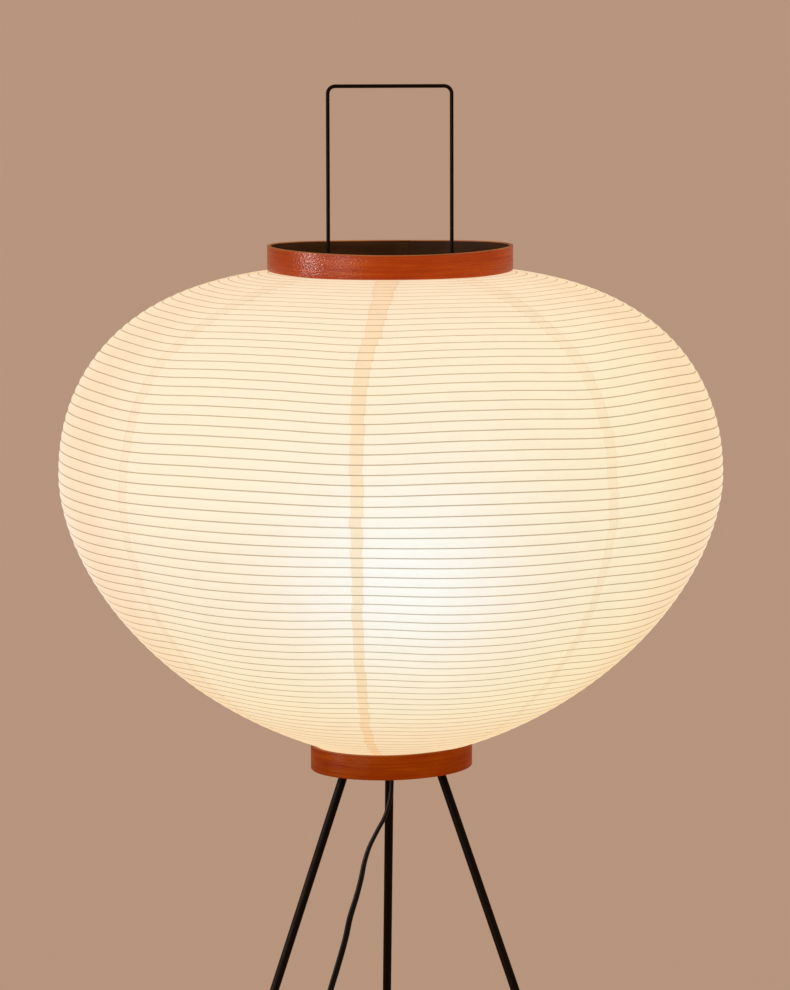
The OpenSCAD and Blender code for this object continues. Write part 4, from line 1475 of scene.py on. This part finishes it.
    def seam_tree(self) -> bpy.types.NodeTree:
        """Writes the tree of one overlapped seam, which steps aside a little at each rib.

        Returns:
            The tree.
        """
        t, outline = self.started("Overlapped seam", self.SHEET | {
            "Seam angle": "Float", "Twist": "Float", "Proud": "Float", "Seed": "Int"})
        mesh, across, row, band, arch = self.banded(t, self.seam_columns)
        rows = t.given["Rows in a band"]
        stair = t.math("FLOOR", t.over(t.minus(row, 1 - self.nudge), rows))
        here = t.minus(stair, self.bands_above - 0.5)
        middle = self.found(t, outline, here, t.given["Seam angle"], 0.0)
        down = middle.outputs["Length down"]
        share = t.over(down, outline.outputs["Run"])
        lean = t.times(t.minus(t.curve(share, self.lean_line), 0.5), self.seam_lean)
        jitter = t.add("FunctionNodeRandomValue", {
            "Min": -self.seam_jitter, "Max": self.seam_jitter, "ID": stair,
            "Seed": t.given["Seed"]}, data_type="FLOAT").outputs[1]
        width = t.math("MULTIPLY_ADD", t.math("EXPONENT", t.over(down, -self.flare_reach)),
                       self.seam_flare, self.seam_width)
        aside = t.math("MULTIPLY_ADD", t.minus(across, 0.5), width, jitter)
        radius = t.math("MAXIMUM", middle.outputs["Radius"], self.least_radius)
        turn = t.plus(t.times(lean, t.given["Twist"]), t.over(aside, radius))
        angle = t.plus(t.given["Seam angle"], turn)
        offset = t.math("MULTIPLY_ADD", arch, t.given["Swell"], t.given["Proud"])
        point = self.found(t, outline, band, angle, offset)
        self.finished(t, mesh, point.outputs["Position"])
        return t.tree

    def spiral_tree(self) -> bpy.types.NodeTree:
        """Writes the tree of the bamboo spiral inside the paper.

        Returns:
            The tree.
        """
        t, outline = self.started("Bamboo spiral", {
            "Points in a turn": "Int", "Turns": "Float", "Depth": "Float", "Thickness": "Float",
            "Width": "Float", "Bamboo": "Material"})
        count = t.times(t.given["Points in a turn"], t.given["Turns"])
        line = t.out("GeometryNodeMeshLine", {"Count": count})
        index = t.out("GeometryNodeInputIndex")
        turns = t.over(index, t.given["Points in a turn"])
        angle = t.times(t.minus(t.math("FRACT", turns), 0.5), TURN)
        point = self.found(t, outline, t.math("FLOOR", turns), angle,
                           t.times(t.given["Depth"], -1))
        line = t.moved(line, point.outputs["Position"])
        curve = t.out("GeometryNodeMeshToCurve", {"Mesh": line})
        curve = t.out("GeometryNodeSetCurveNormal", {"Curve": curve}, mode="Z_UP")
        profile = t.out("GeometryNodeCurvePrimitiveQuadrilateral", {
            "Width": t.given["Thickness"], "Height": t.given["Width"]})
        rod = t.out("GeometryNodeCurveToMesh", {"Curve": curve, "Profile Curve": profile,
                                                "Fill Caps": True})
        t.give("Mesh", t.dress(t.real(rod), t.given["Bamboo"]))
        return t.tree

    def collapse(self, made: bpy.types.Object) -> None:
        """Gives a piece its own copy of its mesh."""
        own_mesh(made)

    @property
    def sheet(self) -> dict[str, object]:
        """The inputs that the paper and its overlaps share."""
        return self.sizes | {
            "Rows in a band": self.rows, "Bands": self.bands, "Rib line share": self.rib_line,
            "Swell": self.swell, "Paper": self.finishes["lit_paper"],
            "Rib shadow": self.finishes["rib_shadow"]}

    def build_paper(self) -> None:
        """Builds the ribbed paper."""
        mesh = grown("lantern_paper", self.paper_tree(), self.sheet | {"Columns": self.columns},
                     self.paper)
        self.collapse(piece("lantern_paper", mesh, Body.STAND, "lantern_paper", "shade_paper"))

    def overlap_strips(self, double: Sequence[bpy.types.Material]) -> list[bpy.types.Mesh]:
        """Builds the upper sheet of each overlapped seam.

        Args:
            double: The finishes of a strong overlap, a faint one and the rib's shadow.

        Returns:
            One strip for each seam.
        """
        tree = self.seam_tree()
        strips = []
        for number, twist in enumerate(self.seam_twists):
            angle = self.first_seam + TURN * number / self.seams
            if angle > math.pi:
                angle -= TURN
            strips.append(grown("overlap", tree, self.sheet | {
                "Seam angle": angle, "Twist": twist, "Proud": self.overlap_proud,
                "Seed": number, "Paper": double[0 if number % 3 == 0 else 1],
                "Rib shadow": double[2]}, self.overlap_paper))
        return strips

    def build_overlaps(self) -> None:
        """Joins the strips of every seam into one piece."""
        double = [self.finishes[name] for name in (
            "lit_overlap", "lit_overlap_faint", "rib_shadow_in_overlap")]
        strips = self.overlap_strips(double)
        build = bmesh.new()
        for strip in strips:
            known = len(build.faces)
            build.from_mesh(strip)
            build.faces.ensure_lookup_table()
            places = [double.index(worn) if worn else 0 for worn in strip.materials]
            for face in build.faces[known:]:
                face.material_index = places[face.material_index]
        joined = kept_mesh("paper_overlaps", build)
        for material in double:
            joined.materials.append(material)
        self.collapse(piece("paper_overlaps", joined, Body.STAND, "lantern_paper"))

    def build_bamboo(self) -> None:
        """Builds the split bamboo that winds inside the paper."""
        thickness, width = self.rib
        mesh = grown("bamboo_spiral", self.spiral_tree(), self.sizes | {
            "Points in a turn": self.rib_points, "Turns": self.rib_turns,
            "Depth": self.paper + thickness / 2, "Thickness": thickness, "Width": width,
            "Bamboo": self.finishes["split_bamboo"]})
        self.collapse(piece("bamboo_spiral", mesh, Body.STAND, "bamboo", "bamboo_ribs"))

    def build(self) -> None:
        """Builds the paper, its overlapped seams and the bamboo."""
        self.outline = self.outline_tree()
        self.surface = self.surface_tree()
        self.build_paper()
        self.build_overlaps()
        self.build_bamboo()


# ---------------------------------------------------------------- the hoops


@dataclass
class BentHoop:
    """A strip of bent wood, its outer end lapped over itself at the back.

    Attributes:
        finishes: Every finish of the lamp.
        name: The piece's name.
        node: The frame's node that it stands for.
        body: The body that it moves with.
        outside: The finish of its outer face.
        saddle: Rise of its left and right, and fall of its front and back.
        nod: Rise of its back, and fall of its front.
        dip: Fall of its right, and rise of its left.
        rise: Rise of the whole hoop.
        thickness: Thickness of the strip.
        lap_proud: How far the lap stands out.
        lap_start: Angle at which the strip starts, from the right.
        lap_turn: Angle over which it laps.
        corner: Radius of its long edges.
        corner_share: Largest share of the thickness that one of them takes.
        corner_steps: Steps round one of them.
        scarf: Share of the thickness that is cut off the inner end, under the lap.
        lap_ramp: Share of the lap in which the outer end climbs on the inner one.
        glue: Room between the two ends.
        steps: Steps round the hoop.
    """

    finishes: Finishes
    name: str
    node: str
    body: Body
    outside: WoodFace
    saddle: float = 0.0
    nod: float = 0.0
    dip: float = 0.0
    rise: float = 0.0
    thickness: float = 2.8 * MM
    lap_proud: float = 1.2 * MM
    lap_start: float = math.radians(78)
    lap_turn: float = math.radians(24)
    corner: float = 0.7 * MM
    corner_share: float = 0.42
    corner_steps: int = 3
    scarf: float = 0.55
    lap_ramp: float = 0.3
    glue: float = 0.04 * MM
    steps: int = 240

    def section(self, inner: float, outer: float, low: float,
                high: float) -> list[tuple[float, float, WoodFace]]:
        """Gives the strip's rounded section.

        Args:
            inner: Radius of its inner side.
            outer: Radius of its outer side.
            low: Height of its lower edge.
            high: Height of its upper edge.

        Returns:
            Radius and height of each point, and the finish from there to the next.
        """
        c = min(self.corner, (outer - inner) * self.corner_share)
        last = self.corner_steps
        points = []
        for r, z, start, after in ((outer - c, low + c, -90, self.outside),
                                   (outer - c, high - c, 0, WoodFace.RIM),
                                   (inner + c, high - c, 90, WoodFace.INSIDE),
                                   (inner + c, low + c, 180, WoodFace.RIM)):
            for k in range(last + 1):
                a = math.radians(start + 90 / last * k)
                points.append((r + c * math.cos(a), z + c * math.sin(a),
                               after if k == last or start in (-90, 180) else WoodFace.RIM))
        return points

    def sides(self, run: float, radius: float) -> tuple[float, float]:
        """Works out where the strip's two sides lie, scarfed and lapped at its ends.

        Args:
            run: Turn from the strip's start.
            radius: The hoop's outer radius.

        Returns:
            Radius of the inner and of the outer side.
        """
        cut = self.thickness * self.scarf
        if run > TURN:
            over = ease((run - TURN) / (self.lap_turn * self.lap_ramp))
            left = 1 - ease((run - TURN) / self.lap_turn)
            return radius - left * cut + self.glue, radius + self.lap_proud * over
        tip = ease(run / self.lap_turn)
        return radius - self.thickness, radius - (1 - tip) * cut

    def lift(self, angle: float) -> float:
        """Gives how far the hoop's bend lifts it at an angle."""
        return (self.saddle * math.cos(2 * angle) + self.nod * math.sin(angle)
                - self.dip * math.cos(angle) + self.rise)

    def build(self) -> None:
        """Builds the hoop."""
        low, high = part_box(self.node)
        radius = (high.x - low.x) / 2
        build = bmesh.new()
        chart = build.loops.layers.uv.new("strip")
        rings, marks = [], []
        for i in range(self.steps + 1):
            run = (TURN + self.lap_turn) * i / self.steps
            angle = self.lap_start + run
            ring = self.section(*self.sides(run, radius), low.z, high.z)
            across, away = math.cos(angle), math.sin(angle)
            rings.append([build.verts.new((
                r * across, LAMP_AXIS.y + r * away, z + self.lift(angle))) for r, z, _ in ring])
            marks.append((run * radius, ring))
        order = [self.outside, WoodFace.RIM, WoodFace.INSIDE]
        count = len(rings[0])

        def place(row: int, column: int) -> tuple[float, float]:
            """Gives the length along the strip and the height and radius, added up."""
            r, z, _ = marks[row][1][column % count]
            return marks[row][0], z + r

        faces = skin(build, rings, ((0, 0), (1, 0), (1, 1), (0, 1)), chart, place)
        for number, face in enumerate(faces):
            row, column = divmod(number, count)
            face.material_index = order.index(marks[row][1][column][2])
        for ring in (rings[0], list(reversed(rings[-1]))):
            build.faces.new(ring).material_index = order.index(WoodFace.RIM)
        bmesh.ops.recalc_face_normals(build, faces=build.faces)
        mesh = kept_mesh(self.name, build)
        for face in order:
            mesh.materials.append(self.finishes[face.value])
        piece(self.name, mesh, self.body, "bent_wood", self.node)


# ---------------------------------------------------------------- small parts


@dataclass
class SmallParts:
    """Moulded ridges on the switch button and the plug, and the button's spring.

    Attributes:
        finishes: Every finish of the lamp.
        button_ridges: Number of ridges round the button.
        button_ring: Radius at which they stand.
        button_sunk: How far their middles lie under the button's top.
        button_ridge: Length, width and height of one.
        plug_ridges: Number of ridges over the plug, and as many under it.
        plug_back: How far behind the plug's nose the first one lies.
        plug_face: Height of the plug's face at the first one, from its middle.
        plug_step: Pitch of the ridges.
        plug_taper: How far out the face steps from one ridge to the next.
        plug_ridge: Length, width and height of one.
        ridge_bevel: Width of the bevel on every ridge.
        spring_wire: Thickness of the spring's wire.
        spring_coils: Number of its coils.
        coil_steps: Steps round one coil.
        wire_sides: Faces round the wire.
        press: Travel of the button.
    """

    finishes: Finishes
    button_ridges: int = 24
    button_ring: float = 10.2 * MM
    button_sunk: float = 0.35 * MM
    button_ridge: Point = (3.6 * MM, 1.1 * MM, 0.8 * MM)
    plug_ridges: int = 6
    plug_back: float = 23 * MM
    plug_face: float = 7.45 * MM
    plug_step: float = 3 * MM
    plug_taper: float = 0.13 * MM
    plug_ridge: Point = (9 * MM, 1.1 * MM, 0.9 * MM)
    ridge_bevel: float = 0.3 * MM
    spring_wire: float = 0.9 * MM
    spring_coils: float = 4.0
    coil_steps: int = 28
    wire_sides: int = 8
    press: float = 3 * MM

    def ridge_tree(self) -> bpy.types.NodeTree:
        """Writes the tree of equal ridges, round a centre or in a row.

        Returns:
            The tree.
        """
        t = GeometryTree("Ridges", {
            "Count": "Int", "Radius": "Float", "Turn": "Float", "Centre": "Vector",
            "Step": "Vector", "Size": "Vector", "Moulding": "Material"}, {"Mesh": "Geometry"})
        index = t.out("GeometryNodeInputIndex")
        angle = t.times(t.over(index, t.given["Count"]), t.given["Turn"])
        reach = t.given["Radius"]
        ring = t.join(t.times(t.math("COSINE", angle), reach),
                      t.times(t.math("SINE", angle), reach))
        place = self.vectors(t, "MULTIPLY", t.given["Step"], t.join(index, index, index))
        place = self.vectors(t, "ADD", place, self.vectors(t, "ADD", ring, t.given["Centre"]))
        points = t.moved(t.out("GeometryNodeMeshLine", {"Count": t.given["Count"]}), place)
        ridge = t.out("GeometryNodeMeshCube", {"Size": t.given["Size"]})
        turned = t.out("GeometryNodeInstanceOnPoints", {
            "Points": points, "Instance": ridge, "Rotation": t.join(0.0, 0.0, angle)})
        t.give("Mesh", t.dress(t.real(turned), t.given["Moulding"]))
        return t.tree

    @staticmethod
    def vectors(t: GeometryTree, operation: str, one: Socket, other: Socket) -> Socket:
        """Adds a vector math node and gives its result."""
        return t.out("ShaderNodeVectorMath", {0: one, 1: other}, operation=operation)

    def ridges(self, name: str, body: Body, inputs: dict[str, object]) -> None:
        """Builds one set of ridges.

        Args:
            name: The piece's name.
            body: The body that it moves with.
            inputs: The sizes and places that the tree takes.
        """
        moulding = {"Moulding": self.finishes["black_moulding"]}
        mesh = grown(name, self.ridge, inputs | moulding, bevel=self.ridge_bevel)
        piece(name, mesh, body, "black_moulding")

    def spring_tree(self) -> bpy.types.NodeTree:
        """Writes the tree of a coiled wire.

        Returns:
            The tree.
        """
        t = GeometryTree("Coiled wire", {
            "Radius": "Float", "Height": "Float", "Coils": "Float", "Wire": "Float",
            "Foot": "Vector", "Plating": "Material"}, {"Mesh": "Geometry"})
        line = t.out("GeometryNodeCurveSpiral", {
            "Resolution": self.coil_steps, "Rotations": t.given["Coils"],
            "Start Radius": t.given["Radius"], "End Radius": t.given["Radius"],
            "Height": t.given["Height"]})
        section = t.out("GeometryNodeCurvePrimitiveCircle", {
            "Resolution": self.wire_sides, "Radius": t.over(t.given["Wire"], 2)})
        wire = t.out("GeometryNodeCurveToMesh", {"Curve": line, "Profile Curve": section,
                                                 "Fill Caps": True})
        placed = t.out("GeometryNodeTransform", {"Geometry": wire, "Translation": t.given["Foot"]})
        t.give("Mesh", t.dress(placed, t.given["Plating"]))
        return t.tree

    def build_button_ridges(self) -> None:
        """Builds the ring of ridges on the switch button."""
        _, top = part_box("switch_button")
        middle = centre_of("switch_button")
        self.ridges("button_ridges", Body.BUTTON, {
            "Count": self.button_ridges, "Radius": self.button_ring, "Turn": TURN,
            "Centre": (middle.x, middle.y, top.z - self.button_sunk),
            "Size": self.button_ridge})

    def build_plug_ridges(self) -> None:
        """Builds the rows of grip ridges over and under the plug."""
        _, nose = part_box("plug_body")
        middle = centre_of("plug_body")
        for name, side in (("plug_ridges_upper", 1), ("plug_ridges_lower", -1)):
            self.ridges(name, Body.STAND, {
                "Count": self.plug_ridges,
                "Centre": (middle.x, nose.y - self.plug_back, middle.z + side * self.plug_face),
                "Step": (0, self.plug_step, side * self.plug_taper), "Size": self.plug_ridge})

    def build_spring(self) -> None:
        """Builds the coiled spring."""
        low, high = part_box("switch_spring")
        middle = (low + high) / 2
        wire = self.spring_wire
        mesh = grown("press_spring", self.spring_tree(), {
            "Radius": (high.x - low.x - wire) / 2, "Height": high.z - low.z - wire,
            "Coils": self.spring_coils, "Wire": wire,
            "Foot": (middle.x, middle.y, low.z + wire / 2), "Plating": self.finishes["zinc_plate"]})
        spring = piece("press_spring", mesh, Body.STAND, "zinc", "switch_spring")
        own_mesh(spring)

    def build(self) -> None:
        """Builds the ridges and the spring."""
        self.ridge = self.ridge_tree()
        self.build_button_ridges()
        self.build_plug_ridges()
        self.build_spring()


# ---------------------------------------------------------------- frame nodes


@dataclass
class FrameParts:
    """The frame's own solids that show as they are, each with its finish.

    Attributes:
        finishes: Every finish of the lamp.
        worn: The nodes that wear each finish, by its name.
    """

    finishes: Finishes
    worn: dict[str, tuple[str, ...]] = field(default_factory=lambda: {
        "black_lacquer": ("leg_left", "leg_right", "leg_back", "leg_sockets", "hub_plate",
                          "stretcher_wire", "hoop_carriers", "hook_left", "hook_right"),
        "foot_rubber": ("foot_left", "foot_right", "foot_back", "cord_gland", "switch_sleeves"),
        "zinc_plate": ("leg_nuts", "wire_nuts", "carrier_bolts", "stem_nuts", "holder_grub_screw",
                       "switch_screws", "bulb_cap", "bulb_contact"),
        "satin_brass": ("carrier_screws", "hook_screws", "stem_pipe", "holder_thread",
                        "holder_contact", "plug_pins"),
        "bakelite": ("holder_base", "holder_sleeve", "bulb_insulator"),
        "black_moulding": ("switch_base", "switch_shell", "switch_button", "cord_tie", "plug_body"),
        "porcelain": ("holder_insert", "switch_block"),
        "opal_glass": ("bulb_glass",),
        "wire_insulation": ("stem_wires",),
    })

    def dress(self) -> None:
        """Gives every node its finish."""
        for finish, nodes in self.worn.items():
            for node in nodes:
                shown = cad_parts[node]
                if not shown.material_slots:
                    shown.data.materials.append(None)
                for slot in shown.material_slots:
                    slot.material = self.finishes[finish]
            LOG.info("%s: %s", finish, ", ".join(nodes))


def main() -> None:
    """Builds the lamp, piece by piece."""
    logging.basicConfig(level=logging.INFO, format="%(message)s")
    finishes = Finishes(bulb=Vector((0, LAMP_AXIS.y, centre_of("bulb_glass").z)))
    finishes.build()
    studio = Studio()
    studio.place_camera()
    Cordset(finishes).build()
    studio.lay_floor()
    studio.light()
    Lantern.from_frame(finishes).build()
    BentHoop(finishes, "upper_hoop", "top_hoop", Body.UPPER_HOOP, WoodFace.OUTSIDE,
             saddle=1.1 * MM, nod=0.4 * MM, rise=1.6 * MM).build()
    BentHoop(finishes, "lower_hoop", "bottom_hoop", Body.STAND, WoodFace.LOWER_OUTSIDE_IN_PAINTED_SHADE,
             saddle=0.3 * MM, dip=-1.5 * MM, rise=-1.7 * MM).build()
    SmallParts(finishes).build()
    FrameParts(finishes).dress()


if __name__ == "__main__":
    main()
